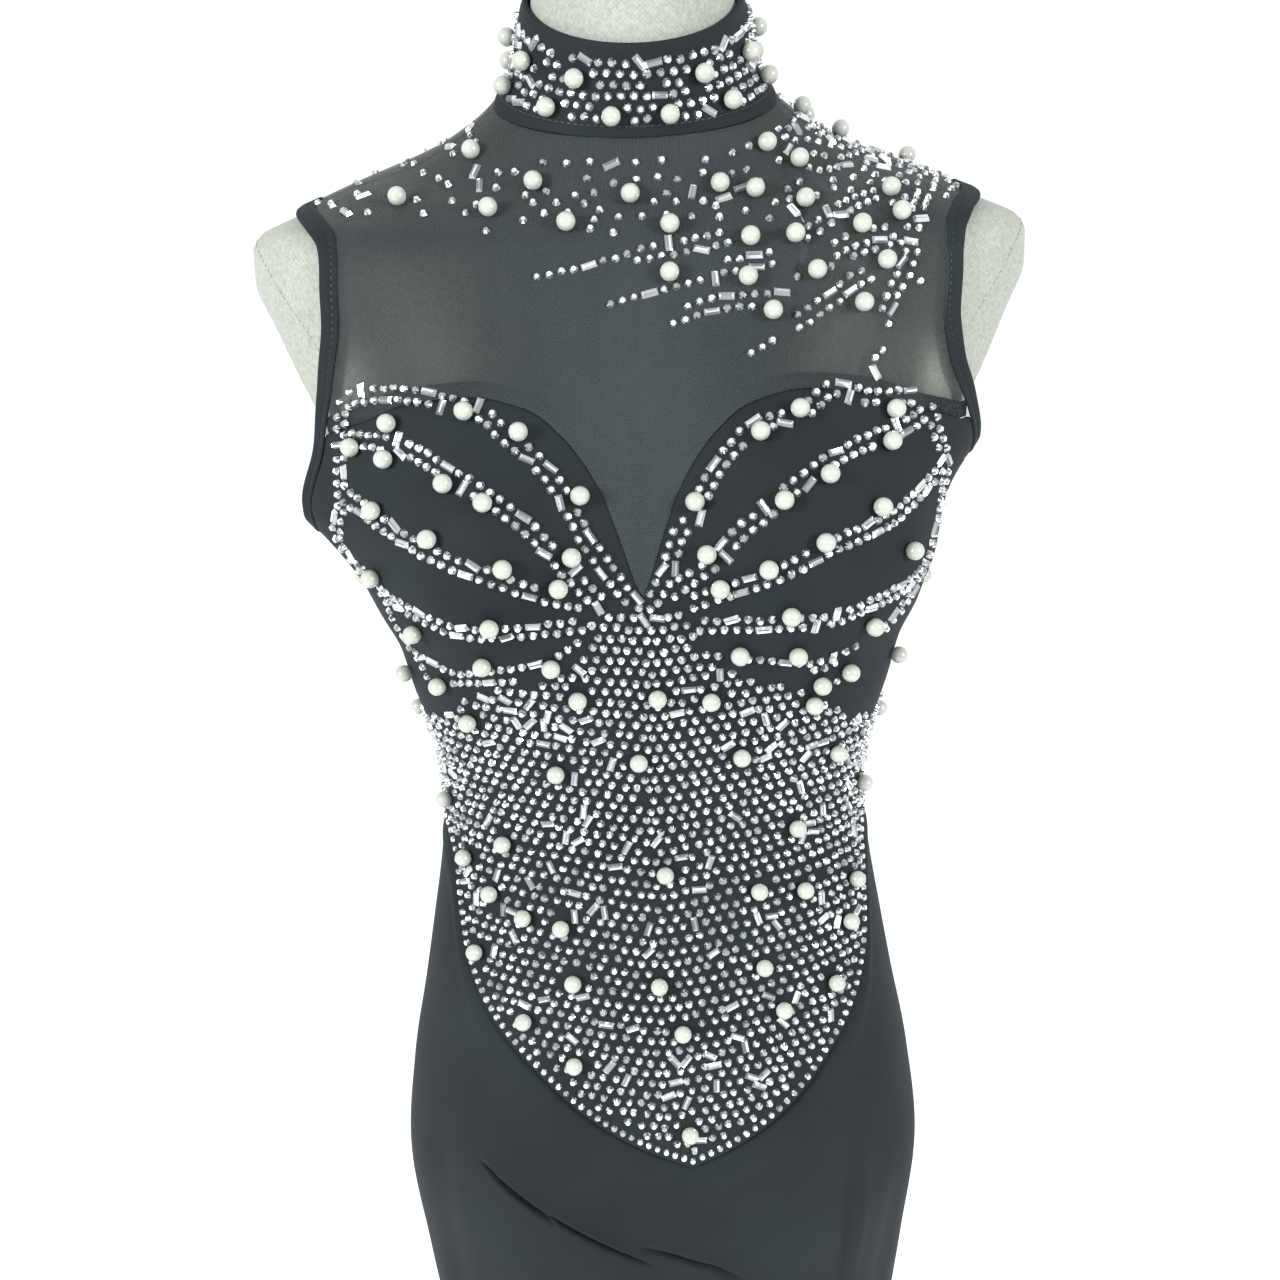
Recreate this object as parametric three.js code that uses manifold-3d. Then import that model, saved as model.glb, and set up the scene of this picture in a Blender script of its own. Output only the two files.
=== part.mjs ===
// A sleeveless evening gown on a limbless dress form. The gown has a high collar, a sheer mesh yoke,
// a sweetheart bodice with a pointed lower edge set with crystals and pearls, bound armholes, a
// fitted skirt that flares below the knee, and a zip down the centre back.
//
// Millimetres, +Z up. The front faces -Y and the wearer's left is +X. The origin is the centre of the
// stand base's underside. A place on the body is an angle round it (0 at the front centre, positive
// to the wearer's left, 180 at the back centre) and a level, the height measured on the side line.
import * as THREE from 'three';
import { mergeVertices } from 'three/addons/utils/BufferGeometryUtils.js';
import Module from 'manifold-3d';

const wasm = await Module();
wasm.setup();

const { clamp, lerp, smoothstep, degToRad, radToDeg } = THREE.MathUtils;

// ---------------------------------------------------------------- driving dimensions

const SEAM_GAP = 0.3;

const WALL = { mesh: 1.0, jersey: 1.5, beaded: 2.2, collar: 2.4, facing: 1.0, binding: 2.0 };

const LEVEL = {
  hem: 25,
  formFoot: 752,
  zipEnd: 868,
  yokeSide: 1252,
  armholeTop: 1357,
  collarBase: 1398,
  collarTop: 1443,
  neckTop: 1490,
};

// Sections of the outer skin. side is the half width, front and back the depths from the axis,
// corner the roundness (2 is an ellipse) and tilt how much a section rises towards the back.
const SECTIONS = [
  { level: 25, side: 220, front: 205, back: 225, corner: 2.0, tilt: 0 },
  { level: 120, side: 178, front: 166, back: 182, corner: 2.0, tilt: 0 },
  { level: 250, side: 138, front: 124, back: 138, corner: 2.0, tilt: 0 },
  { level: 380, side: 113, front: 98, back: 104, corner: 2.1, tilt: 0 },
  { level: 480, side: 107, front: 88, back: 92, corner: 2.1, tilt: 0 },
  { level: 600, side: 118, front: 92, back: 100, corner: 2.2, tilt: 0 },
  { level: 732, side: 132, front: 97, back: 110, corner: 2.2, tilt: 0 },
  { level: 788, side: 138.5, front: 101, back: 117, corner: 2.2, tilt: 0 },
  { level: 845, side: 144.2, front: 104, back: 122, corner: 2.2, tilt: 0 },
  { level: 900, side: 138, front: 104, back: 116, corner: 2.2, tilt: 0 },
  { level: 947, side: 128.5, front: 100, back: 106, corner: 2.2, tilt: 0 },
  { level: 984, side: 121.5, front: 95, back: 96, corner: 2.2, tilt: 0 },
  { level: 1020, side: 115, front: 89, back: 87, corner: 2.2, tilt: 0 },
  { level: 1050, side: 111, front: 84, back: 80, corner: 2.2, tilt: 0 },
  { level: 1078, side: 112, front: 86, back: 81, corner: 2.2, tilt: 0 },
  { level: 1100, side: 117, front: 88, back: 84, corner: 2.2, tilt: 0 },
  { level: 1123, side: 123, front: 90, back: 88, corner: 2.3, tilt: 0 },
  { level: 1145, side: 127.5, front: 91, back: 92, corner: 2.4, tilt: 0 },
  { level: 1166, side: 136, front: 93, back: 95, corner: 2.55, tilt: 0 },
  { level: 1185, side: 142.5, front: 94, back: 97, corner: 2.6, tilt: 0 },
  { level: 1210, side: 147, front: 91, back: 98, corner: 2.5, tilt: 0 },
  { level: 1235, side: 155, front: 86, back: 99, corner: 2.45, tilt: 0 },
  { level: 1258, side: 164, front: 82, back: 99, corner: 2.5, tilt: 0 },
  { level: 1278, side: 173, front: 78, back: 99, corner: 2.5, tilt: 0 },
  { level: 1300, side: 181, front: 75, back: 98, corner: 2.5, tilt: 0 },
  { level: 1320, side: 186, front: 71, back: 96, corner: 2.5, tilt: 0 },
  { level: 1335, side: 186, front: 66, back: 92, corner: 2.5, tilt: 0 },
  { level: 1344, side: 181, front: 61, back: 88, corner: 2.5, tilt: 0.03 },
  { level: 1353, side: 162, front: 57, back: 84, corner: 2.4, tilt: 0.10 },
  { level: 1362, side: 137, front: 54, back: 82, corner: 2.3, tilt: 0.20 },
  { level: 1371, side: 106, front: 52, back: 78, corner: 2.2, tilt: 0.30 },
  { level: 1380, side: 88, front: 51, back: 74, corner: 2.1, tilt: 0.34 },
  { level: 1389, side: 75, front: 50, back: 70, corner: 2.0, tilt: 0.37 },
  { level: 1398, side: 66, front: 49, back: 64, corner: 2.0, tilt: 0.38 },
  { level: 1415, side: 56, front: 50, back: 56, corner: 2.0, tilt: 0.42 },
  { level: 1432, side: 53, front: 53, back: 49, corner: 2.0, tilt: 0.45 },
  { level: 1443, side: 50, front: 56, back: 44, corner: 2.0, tilt: 0.46 },
  { level: 1500, side: 48, front: 60, back: 38, corner: 2.0, tilt: 0.36 },
];

const BUST = { across: 72, level: 1210, lift: 32, wide: 43, tall: 48 };
const UNDERARM_EASE = {
  left: { level: 1240, lift: 7, wide: 24, tall: 12 },
  right: { level: 1219, lift: 25, wide: 24, tall: 18 },
};
const HEM_FOLDS = { top: 420, depth: 16 };
const FACING = { width: 6, steepest: 12, under: 1.75 };
const ARMHOLE = { back: 0.94, band: 7.6, gap: 0.55, lift: 1.0 };

// How many degrees each armhole's front edge lies in front of the side line, by level. The wearer's
// right hangs lower. The back edge lies ARMHOLE.back of that behind the line.
const ARMHOLE_EDGES = {
  left: [
    { level: 1230, reach: 0 },
    { level: 1232, reach: 7 },
    { level: 1236, reach: 11 },
    { level: 1244, reach: 13.5 },
    { level: 1260, reach: 17 },
    { level: 1280, reach: 21.3 },
    { level: 1302, reach: 22.8 },
    { level: 1325, reach: 21.6 },
    { level: 1341, reach: 19 },
    { level: 1350, reach: 14.5 },
    { level: 1355, reach: 8 },
    { level: LEVEL.armholeTop, reach: 0 },
  ],
  right: [
    { level: 1201, reach: 0 },
    { level: 1202.8, reach: 7.5 },
    { level: 1206.5, reach: 12.8 },
    { level: 1214, reach: 16.4 },
    { level: 1230, reach: 17.6 },
    { level: 1252, reach: 17.6 },
    { level: 1275, reach: 20.3 },
    { level: 1305, reach: 22.6 },
    { level: 1328, reach: 21.6 },
    { level: 1342, reach: 19.2 },
    { level: 1350, reach: 14.5 },
    { level: 1355, reach: 8 },
    { level: LEVEL.armholeTop, reach: 0 },
  ],
};

// The upper edge of the bodice, by the angle from its notch.
const SWEETHEART = [
  { angle: 0, level: 1184 },
  { angle: 3, level: 1198 },
  { angle: 6, level: 1213 },
  { angle: 12, level: 1235 },
  { angle: 22, level: 1256 },
  { angle: 32, level: 1268 },
  { angle: 44, level: 1273 },
  { angle: 55, level: 1270 },
  { angle: 64, level: 1260 },
  { angle: 73, level: 1252 },
];
const NOTCH_ANGLE = -2;

// The lower edge of the bodice, by the angle from its point.
const BASQUE = [
  { angle: 0, level: 889 },
  { angle: 10, level: 897 },
  { angle: 20, level: 907 },
  { angle: 30, level: 920 },
  { angle: 40, level: 937 },
  { angle: 48, level: 951 },
  { angle: 55, level: 966 },
  { angle: 61, level: 984 },
  { angle: 66, level: 1007 },
  { angle: 71, level: 1032 },
  { angle: 78, level: 1044 },
  { angle: 90, level: 1050 },
  { angle: 110, level: 1042 },
  { angle: 130, level: 1022 },
  { angle: 155, level: 998 },
  { angle: 180, level: 988 },
];
const POINT_ANGLE = 7.7;

// Levels of the wall sections, read on the side line.
const SKIRT_LEVELS = [25, 70, 120, 175, 230, 285, 340, 400, 480, 560, 650, 735, 800, 845, LEVEL.zipEnd];
const BODICE_LEVELS = [1050, 1073, 1098, 1123, 1148, 1174, 1201, 1202.8, 1206.5, 1214, 1222, 1230, 1232,
  1236, 1244, LEVEL.yokeSide];
const SKIRT_TOP_ROWS = 5;
const COLLAR_LEVELS = [1398, 1409, 1421, 1432, 1443];
const YOKE_LEVELS = [LEVEL.yokeSide, 1273, 1294, 1312, 1328, 1341, 1350, 1355, 1357, 1367, 1377, 1388, 1398];

const FORM_LEVELS = [778, 810, 845, 880, 915, 950, 985, 1020, 1050, 1080, 1110, 1140, 1166, 1190, 1214,
  1238, 1262, 1286, 1308, 1325, 1338, 1347, 1355, 1364, 1374, 1386, 1398, 1409, 1424, 1443, LEVEL.neckTop];

const FORM_COLUMNS = 32;
const FRONT_COLUMNS = 11;
const BACK_COLUMNS = 9;

const PEARL = { radius: 4.25, sunk: 0.45 };

// Bead strands: each runs between two places on the body and bows upwards; pearls are at these
// fractions of its length.
const STRANDS = [
  { from: [4, 1203], to: [36, 1259], bow: 9, pearls: [0.3, 0.86] },
  { from: [36, 1262], to: [63, 1257], bow: 5, pearls: [0.17, 0.8] },
  { from: [4, 1190], to: [63, 1254], bow: 5, pearls: [0.2, 0.52, 0.68, 0.88] },
  { from: [5, 1182], to: [64, 1233], bow: -3, pearls: [0.23, 0.42, 0.62, 0.82] },
  { from: [14, 1177], to: [62, 1200], bow: -7, pearls: [0.42, 0.97] },
  { from: [14, 1165], to: [62, 1176], bow: -12, pearls: [0.2, 0.48, 0.82] },
  { from: [32, 1134], to: [64, 1152], bow: -3, pearls: [0.4, 0.62] },
  { from: [-8, 1203], to: [-38, 1262], bow: 7, pearls: [0.37, 0.88] },
  { from: [-38, 1265], to: [-64, 1256], bow: 5, pearls: [0.3, 0.8] },
  { from: [-8, 1187], to: [-66, 1250], bow: 9, pearls: [0.22, 0.55, 0.68, 0.87, 0.98] },
  { from: [-8, 1181], to: [-66, 1231], bow: 0, pearls: [0.27, 0.47, 0.7, 0.87] },
  { from: [-14, 1180], to: [-63, 1194], bow: -9, pearls: [0.5, 0.98] },
  { from: [-14, 1165], to: [-60, 1172], bow: -14, pearls: [0.28, 0.62, 0.93] },
  { from: [-57, 1138], to: [-51, 1120], bow: 0, pearls: [0, 1] },
  { from: [-21, 1137], to: [45, 1127], bow: 3, pearls: [0, 0.34, 0.57, 0.98] },
  { from: [-29, 1096], to: [55, 1094], bow: 9, pearls: [0, 0.29, 0.65, 1] },
  { from: [-48, 1052], to: [44, 1058], bow: -14, pearls: [0, 0.55, 1] },
  { from: [-62, 1037], to: [-29, 1014], bow: -6, pearls: [0, 0.33, 0.66, 1] },
  { from: [31, 1029], to: [65, 1018], bow: 0, pearls: [0, 0.4, 0.95] },
  { from: [-54, 992], to: [58, 1000], bow: -9, pearls: [0, 0.26, 0.48, 0.75, 1] },
  { from: [-38, 964], to: [50, 973], bow: -6, pearls: [0, 0.5, 0.82, 1] },
  { from: [-24, 945], to: [7, 909], bow: 0, pearls: [0, 1] },
  { from: [59, 1387], to: [71, 1359], bow: 5, pearls: [0, 0.5, 1] },
  { from: [36, 1374], to: [66, 1345], bow: 4, pearls: [0, 0.35, 0.66, 1] },
  { from: [12, 1342], to: [59, 1339], bow: -5, pearls: [0, 0.52, 0.74, 1] },
  { from: [10, 1322], to: [62, 1325], bow: -4, pearls: [0, 0.45, 0.74, 0.96] },
  { from: [38, 1305], to: [55, 1307], bow: 0, pearls: [0, 1] },
  { from: [-72, 1383], to: [-4, 1371], bow: -2, pearls: [0, 0.4, 1] },
  { from: [-71, 1362], to: [-28, 1345], bow: 2, pearls: [0, 0.45, 1] },
  { from: [100, 1386], to: [104, 1361], bow: 0, pearls: [0, 0.5, 1] },
  { from: [118, 1374], to: [124, 1340], bow: 0, pearls: [0, 0.5, 1] },
];

// Pearls zigzag round the collar between two levels.
const COLLAR_PEARLS = { centre: 2, first: 14, step: 16.2, each: 10, low: 1408, high: 1425 };

// Pearls staggered over the sides and back of the bodice, a little off their rows.
const BACK_PEARLS = { first: 72, last: 170, step: 30, low: 1064, high: 1176, rise: 36, sway: 5 };

const STAND = { poleRadius: 14, baseRadius: 140, baseHeight: 13, bossRadius: 26, bossHeight: 40 };

const ZIP = { halfWidth: 2, thickness: 2.1, lift: 0.9 };
const SLIDER = { width: 6.4, length: 8, height: 2, pivot: 3.4 };
const SLIDER_EARS = { thick: 0.8, long: 3.4, top: 5, hole: 0.85 };
const PULL = { width: 4, neck: 5, grip: 6, thickness: 1.2, length: 23, barrel: 1.1, pin: 0.55, lean: 7 };
const PULL_WINDOW = { wide: 2.4, long: 8 };

// ---------------------------------------------------------------- the skin of the body

// A smooth curve without overshoot through a table's rows.
function curve(rows, key, value) {
  const at = rows.map((row) => row[key]);
  const to = rows.map((row) => row[value]);
  const rise = to.slice(1).map((end, i) => (end - to[i]) / (at[i + 1] - at[i]));
  const slope = to.map((_, i) => {
    if (i === 0) return rise[0];
    if (i === rise.length) return rise[i - 1];
    const product = rise[i - 1] * rise[i];
    return product <= 0 ? 0 : (2 * product) / (rise[i - 1] + rise[i]);
  });
  return (where) => {
    let i = 0;
    while (i < rise.length - 1 && where > at[i + 1]) i += 1;
    const span = at[i + 1] - at[i];
    const t = clamp((where - at[i]) / span, 0, 1);
    const ends = to[i] * (1 + 2 * t) * (1 - t) ** 2 + to[i + 1] * t * t * (3 - 2 * t);
    return ends + span * (slope[i] * t * (1 - t) ** 2 - slope[i + 1] * t * t * (1 - t));
  };
}

const section = {
  side: curve(SECTIONS, 'level', 'side'),
  front: curve(SECTIONS, 'level', 'front'),
  back: curve(SECTIONS, 'level', 'back'),
  corner: curve(SECTIONS, 'level', 'corner'),
  tilt: curve(SECTIONS, 'level', 'tilt'),
};

const SIDE = { left: 1, right: -1 };

const bell = (distance, width) => Math.exp(-0.5 * (distance / width) ** 2);

function bustLift(x, level, facing) {
  const pair = bell(x - BUST.across, BUST.wide) + bell(x + BUST.across, BUST.wide);
  return BUST.lift * pair * bell(level - BUST.level, BUST.tall) * smoothstep(facing, 0, 0.35);
}

function underarmEase(angle, level) {
  let ease = 0;
  for (const [hand, { level: centre, lift, wide, tall }] of Object.entries(UNDERARM_EASE)) {
    const fromSide = radToDeg(Math.acos(clamp(SIDE[hand] * Math.sin(angle), -1, 1)));
    ease += lift * bell(fromSide, wide) * bell(level - centre, tall);
  }
  return ease;
}

// The cloth stands off the body under the arms and falls in uneven soft folds to the hem.
function clothEase(angle, level) {
  const depth = HEM_FOLDS.depth * (1 - smoothstep(level, LEVEL.hem, HEM_FOLDS.top));
  const wave = 0.6 * Math.cos(9 * angle + 0.7) + 0.25 * Math.cos(4 * angle - 1.1)
    + 0.15 * Math.cos(13 * angle + 2);
  return underarmEase(angle, level) + depth * wave;
}

function skin(angle, level, worn = true) {
  const across = Math.sin(angle);
  const facing = Math.cos(angle);
  const depth = facing > 0 ? section.front(level) : section.back(level);
  const corner = section.corner(level);
  const fill = Math.abs(across / section.side(level)) ** corner + Math.abs(facing / depth) ** corner;
  const radius = fill ** (-1 / corner) + (worn ? clothEase(angle, level) : 0);
  const x = radius * across;
  const y = -radius * facing - bustLift(x, level, facing);
  return new THREE.Vector3(x, y, level + section.tilt(level) * y);
}

// The skin moved outwards by lift, along its normal.
function skinAt(angle, level, lift = 0, worn = true) {
  const turn = 0.004;
  const climb = 0.4;
  const round = skin(angle + turn, level, worn).sub(skin(angle - turn, level, worn));
  const up = skin(angle, level + climb, worn).sub(skin(angle, level - climb, worn));
  const normal = round.cross(up).normalize();
  const point = skin(angle, level, worn).addScaledVector(normal, lift);
  return { point, normal };
}

// ---------------------------------------------------------------- lines on the body

const sweetheartAt = curve(SWEETHEART, 'angle', 'level');
const basqueAt = curve(BASQUE, 'angle', 'level');

const reachAt = {
  left: curve(ARMHOLE_EDGES.left, 'level', 'reach'),
  right: curve(ARMHOLE_EDGES.right, 'level', 'reach'),
};
const armholeReach = (level, side) => reachAt[side > 0 ? 'left' : 'right'](level);

// The front's and back's edges on a side (above 0 is the wearer's left), in degrees from the centre.
const sideAngle = (level) => radToDeg(0.5 * SEAM_GAP / section.side(level));
const frontEdge = (level, side) => 90 - Math.max(sideAngle(level), armholeReach(level, side));
const backEdge = (level, side) => 90 + Math.max(sideAngle(level), ARMHOLE.back * armholeReach(level, side));

// The centre-back edge: beside the zip above its end, at the seam below.
function centreBack(level) {
  const half = lerp(0.5 * SEAM_GAP, ZIP.halfWidth + SEAM_GAP, smoothstep(level, 856, 864));
  return 180 - radToDeg(Math.asin(half / section.back(level)));
}

// The bodice's upper edge at a share (-1 to 1) of the front's width.
function neckline(share) {
  let level = LEVEL.yokeSide;
  for (let step = 0; step < 16; step += 1) {
    const angle = share * frontEdge(level, share);
    const shift = NOTCH_ANGLE * Math.cos(degToRad(angle));
    level = sweetheartAt(Math.abs(angle - shift));
  }
  return level;
}

function basque(angle) {
  return basqueAt(Math.abs(angle - POINT_ANGLE * Math.cos(degToRad(angle))));
}

// How far below the basque the skirt starts, which keeps the gap even where the edge is steep.
function basqueGap(angle) {
  const rise = 0.5 * (basque(angle + 1) - basque(angle - 1));
  const perDegree = degToRad(section.side(basque(angle)));
  return SEAM_GAP * Math.hypot(1, rise / perDegree);
}

// ---------------------------------------------------------------- walls

function closedGeometry(points, triangles) {
  const geometry = new THREE.BufferGeometry();
  const numbers = points.flatMap((point) => point.toArray());
  geometry.setAttribute('position', new THREE.Float32BufferAttribute(numbers, 3));
  geometry.setIndex(triangles);
  return geometry;
}

// A closed wall over a grid of places. place(share, part) gives { angle, level }, share and part
// run along the columns and rows, and the outer face lies lift outside the skin.
function wall({ columns, rows, place, thickness, lift = 0 }) {
  const across = columns.length;
  const spots = rows.map((part) => columns.map((share) => place(share, part)));
  const faces = [lift, lift - thickness].map((offset) => spots.map((row) => row.map(
    ({ angle, level }) => skinAt(degToRad(angle), level, offset).point,
  )));
  const points = faces.flat(2);
  const outer = (row, column) => row * across + column;
  const inner = (row, column) => (rows.length + row) * across + column;
  const triangles = [];
  const quad = (a, b, c, d) => triangles.push(a, b, c, a, c, d);
  const top = rows.length - 1;
  const last = across - 1;
  for (let row = 0; row < top; row += 1) {
    for (let column = 0; column < last; column += 1) {
      const ring = [[row, column], [row, column + 1], [row + 1, column + 1], [row + 1, column]];
      // The right half is split along the other diagonal, as a mirror of the left.
      if (spots[row][column].angle + spots[row][column + 1].angle < 0) ring.push(ring.shift());
      const [a, b, c, d] = ring;
      quad(outer(...a), outer(...b), outer(...c), outer(...d));
      quad(inner(...a), inner(...d), inner(...c), inner(...b));
    }
    quad(outer(row, 0), outer(row + 1, 0), inner(row + 1, 0), inner(row, 0));
    quad(outer(row + 1, last), outer(row, last), inner(row, last), inner(row + 1, last));
  }
  for (let column = 0; column < last; column += 1) {
    quad(outer(0, column + 1), outer(0, column), inner(0, column), inner(0, column + 1));
    quad(outer(top, column), outer(top, column + 1), inner(top, column + 1), inner(top, column));
  }
  return closedGeometry(points, triangles);
}

function turned(outline, sides) {
  const profile = outline.map(([radius, height]) => new THREE.Vector2(radius, height));
  return new THREE.LatheGeometry(profile, sides).rotateX(Math.PI / 2);
}

function toSolid(geometry) {
  const bare = geometry.clone();
  bare.deleteAttribute('normal');
  bare.deleteAttribute('uv');
  const merged = mergeVertices(bare);
  return new wasm.Manifold(new wasm.Mesh({
    numProp: 3,
    vertProperties: new Float32Array(merged.attributes.position.array),
    triVerts: new Uint32Array(merged.index.array),
  }));
}

function toGeometry(solid) {
  const { vertProperties, triVerts, numProp } = solid.getMesh();
  const points = [];
  for (let i = 0; i < vertProperties.length; i += numProp) {
    points.push(new THREE.Vector3(vertProperties[i], vertProperties[i + 1], vertProperties[i + 2]));
  }
  return closedGeometry(points, Array.from(triVerts));
}

// ---------------------------------------------------------------- pearls

// A coarse ball of the round pearl's height and girth: a foot sunk in the cloth, a belly and a crown.
function pearlBall() {
  const { radius, sunk } = PEARL;
  const outline = [[0, -sunk], [0.8 * radius, -sunk], [1.2 * radius, 0.9 * radius], [0, 2 * radius]];
  return turned(outline, 4);
}

function strandPlaces() {
  return STRANDS.flatMap(({ from, to, bow, pearls }) => pearls.map((part) => ({
    angle: lerp(from[0], to[0], part),
    level: lerp(from[1], to[1], part) + 4 * bow * part * (1 - part),
  })));
}

function collarPlaces() {
  const places = [];
  for (let i = 0; i < COLLAR_PEARLS.each; i += 1) {
    for (const side of [-1, 1]) {
      places.push({
        angle: COLLAR_PEARLS.centre + side * (COLLAR_PEARLS.first + COLLAR_PEARLS.step * i),
        level: i % 2 === 0 ? COLLAR_PEARLS.low : COLLAR_PEARLS.high,
      });
    }
  }
  return places;
}

function backPlaces() {
  const places = [];
  let row = 0;
  for (let level = BACK_PEARLS.low; level < BACK_PEARLS.high; level += BACK_PEARLS.rise) {
    const start = BACK_PEARLS.first + (row % 2) * 0.5 * BACK_PEARLS.step;
    for (let angle = start; angle < BACK_PEARLS.last; angle += BACK_PEARLS.step) {
      const sway = BACK_PEARLS.sway * Math.sin(angle);
      places.push({ angle, level: level + sway }, { angle: -angle, level: level - sway });
    }
    row += 1;
  }
  return places;
}

// The name of the piece that carries a place on the body.
function pieceAt({ angle, level }) {
  if (level > LEVEL.collarBase) return 'collar';
  const share = angle / frontEdge(level, angle);
  if (Math.abs(share) < 1) return level > neckline(share) ? 'yoke_front' : 'bodice_front';
  const part = level > LEVEL.yokeSide ? 'yoke_back' : 'bodice_back';
  return `${part}_${angle > 0 ? 'left' : 'right'}`;
}

const pearlPlaces = [...strandPlaces(), ...collarPlaces(), ...backPlaces()];

// Joins its pearls to a wall, each seated on the wall's own faces.
function withPearls(name, geometry) {
  const up = new THREE.Vector3(0, 0, 1);
  const cloth = new THREE.Mesh(geometry);
  const above = 12;
  const balls = pearlPlaces.filter((place) => pieceAt(place) === name).map((place) => {
    const { point, normal } = skinAt(degToRad(place.angle), place.level, above);
    const [hit] = new THREE.Raycaster(point, normal.clone().negate()).intersectObject(cloth);
    const turn = new THREE.Quaternion().setFromUnitVectors(up, normal);
    return toSolid(pearlBall().applyQuaternion(turn).translate(hit.point.x, hit.point.y, hit.point.z));
  });
  return toGeometry(balls.reduce((solid, ball) => solid.add(ball), toSolid(geometry)));
}

// ---------------------------------------------------------------- gown pieces

const span = (count) => Array.from({ length: count + 1 }, (_, i) => i / count);

// Shares of a span at which the given levels lie.
const partsOf = (levels) => levels.map((level) => (level - levels[0]) / (levels.at(-1) - levels[0]));

// Columns of the front, with one at the point of the basque.
function frontColumns() {
  const first = POINT_ANGLE / 90;
  const half = span(FRONT_COLUMNS - 1).map((t) => lerp(first, 1, t ** 1.12));
  return [...half.map((share) => -share).reverse(), 0, ...half];
}

// Where a row and column of the back lie; the columns run with the angle on both sides.
function backSpot(side, share, level) {
  const part = side > 0 ? share : 1 - share;
  return side * lerp(backEdge(level, side), centreBack(level), part);
}

function frontSpot(bottom, top) {
  return (share, part) => {
    const level = lerp(bottom(share), top(share), part);
    return { angle: share * frontEdge(level, share), level };
  };
}

// The skirt's rows are level up to the zip's end and then spread to the basque line.
function skirtLevel(row, angle) {
  const flat = SKIRT_LEVELS.length - 1;
  if (row <= flat) return SKIRT_LEVELS[row];
  return lerp(LEVEL.zipEnd, basque(angle) - basqueGap(angle), (row - flat) / SKIRT_TOP_ROWS);
}

const skirtRows = Array.from({ length: SKIRT_LEVELS.length + SKIRT_TOP_ROWS }, (_, row) => row);

function skirtFront() {
  return wall({
    columns: frontColumns(),
    rows: skirtRows,
    thickness: WALL.jersey,
    place: (share, row) => {
      const level = skirtLevel(row, share * 90);
      return { angle: share * frontEdge(level, share), level };
    },
  });
}

function skirtBack(side) {
  return wall({
    columns: span(BACK_COLUMNS),
    rows: skirtRows,
    thickness: WALL.jersey,
    place: (share, row) => {
      const level = skirtLevel(row, side * lerp(90, 180, side > 0 ? share : 1 - share));
      return { angle: backSpot(side, share, level), level };
    },
  });
}

function bodiceFront() {
  const place = frontSpot((share) => basque(share * 90), neckline);
  return wall({ columns: frontColumns(), rows: partsOf(BODICE_LEVELS), place, thickness: WALL.beaded });
}

function bodiceBack(side) {
  return wall({
    columns: span(BACK_COLUMNS),
    rows: partsOf(BODICE_LEVELS),
    thickness: WALL.beaded,
    place: (share, part) => {
      const bottom = basque(side * lerp(90, 180, side > 0 ? share : 1 - share));
      const level = lerp(bottom, LEVEL.yokeSide, part);
      return { angle: backSpot(side, share, level), level };
    },
  });
}

function yokeFront() {
  const place = frontSpot((share) => neckline(share) + SEAM_GAP, () => LEVEL.collarBase - SEAM_GAP);
  return wall({ columns: frontColumns(), rows: partsOf(YOKE_LEVELS), place, thickness: WALL.mesh });
}

function yokeBack(side) {
  return wall({
    columns: span(BACK_COLUMNS),
    rows: partsOf(YOKE_LEVELS),
    thickness: WALL.mesh,
    place: (share, part) => {
      const level = lerp(LEVEL.yokeSide + SEAM_GAP, LEVEL.collarBase - SEAM_GAP, part);
      return { angle: backSpot(side, share, level), level };
    },
  });
}

// A strip of jersey under the mesh, turned up along the sweetheart edge.
function necklineFacing() {
  const { width, steepest, under } = FACING;
  return wall({
    columns: frontColumns().map((share) => 0.985 * share),
    rows: [0, 1],
    thickness: WALL.facing,
    lift: -WALL.mesh - under,
    place: (share, part) => {
      const girth = degToRad(frontEdge(LEVEL.yokeSide, share)) * section.front(LEVEL.yokeSide) * 1.25;
      const slope = (neckline(share + 0.02) - neckline(share - 0.02)) / (0.04 * girth);
      const stretch = Math.hypot(1, slope);
      const low = neckline(share) + 0.5 * stretch;
      const level = lerp(low, neckline(share) + Math.min(width * stretch, steepest), part);
      return { angle: share * frontEdge(level, share), level };
    },
  });
}

function collar() {
  return wall({
    columns: span(38),
    rows: partsOf(COLLAR_LEVELS),
    thickness: WALL.collar,
    lift: 0.8,
    place: (share, part) => {
      const level = lerp(LEVEL.collarBase, LEVEL.collarTop, part);
      return { angle: lerp(-centreBack(level), centreBack(level), share), level };
    },
  });
}

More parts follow.
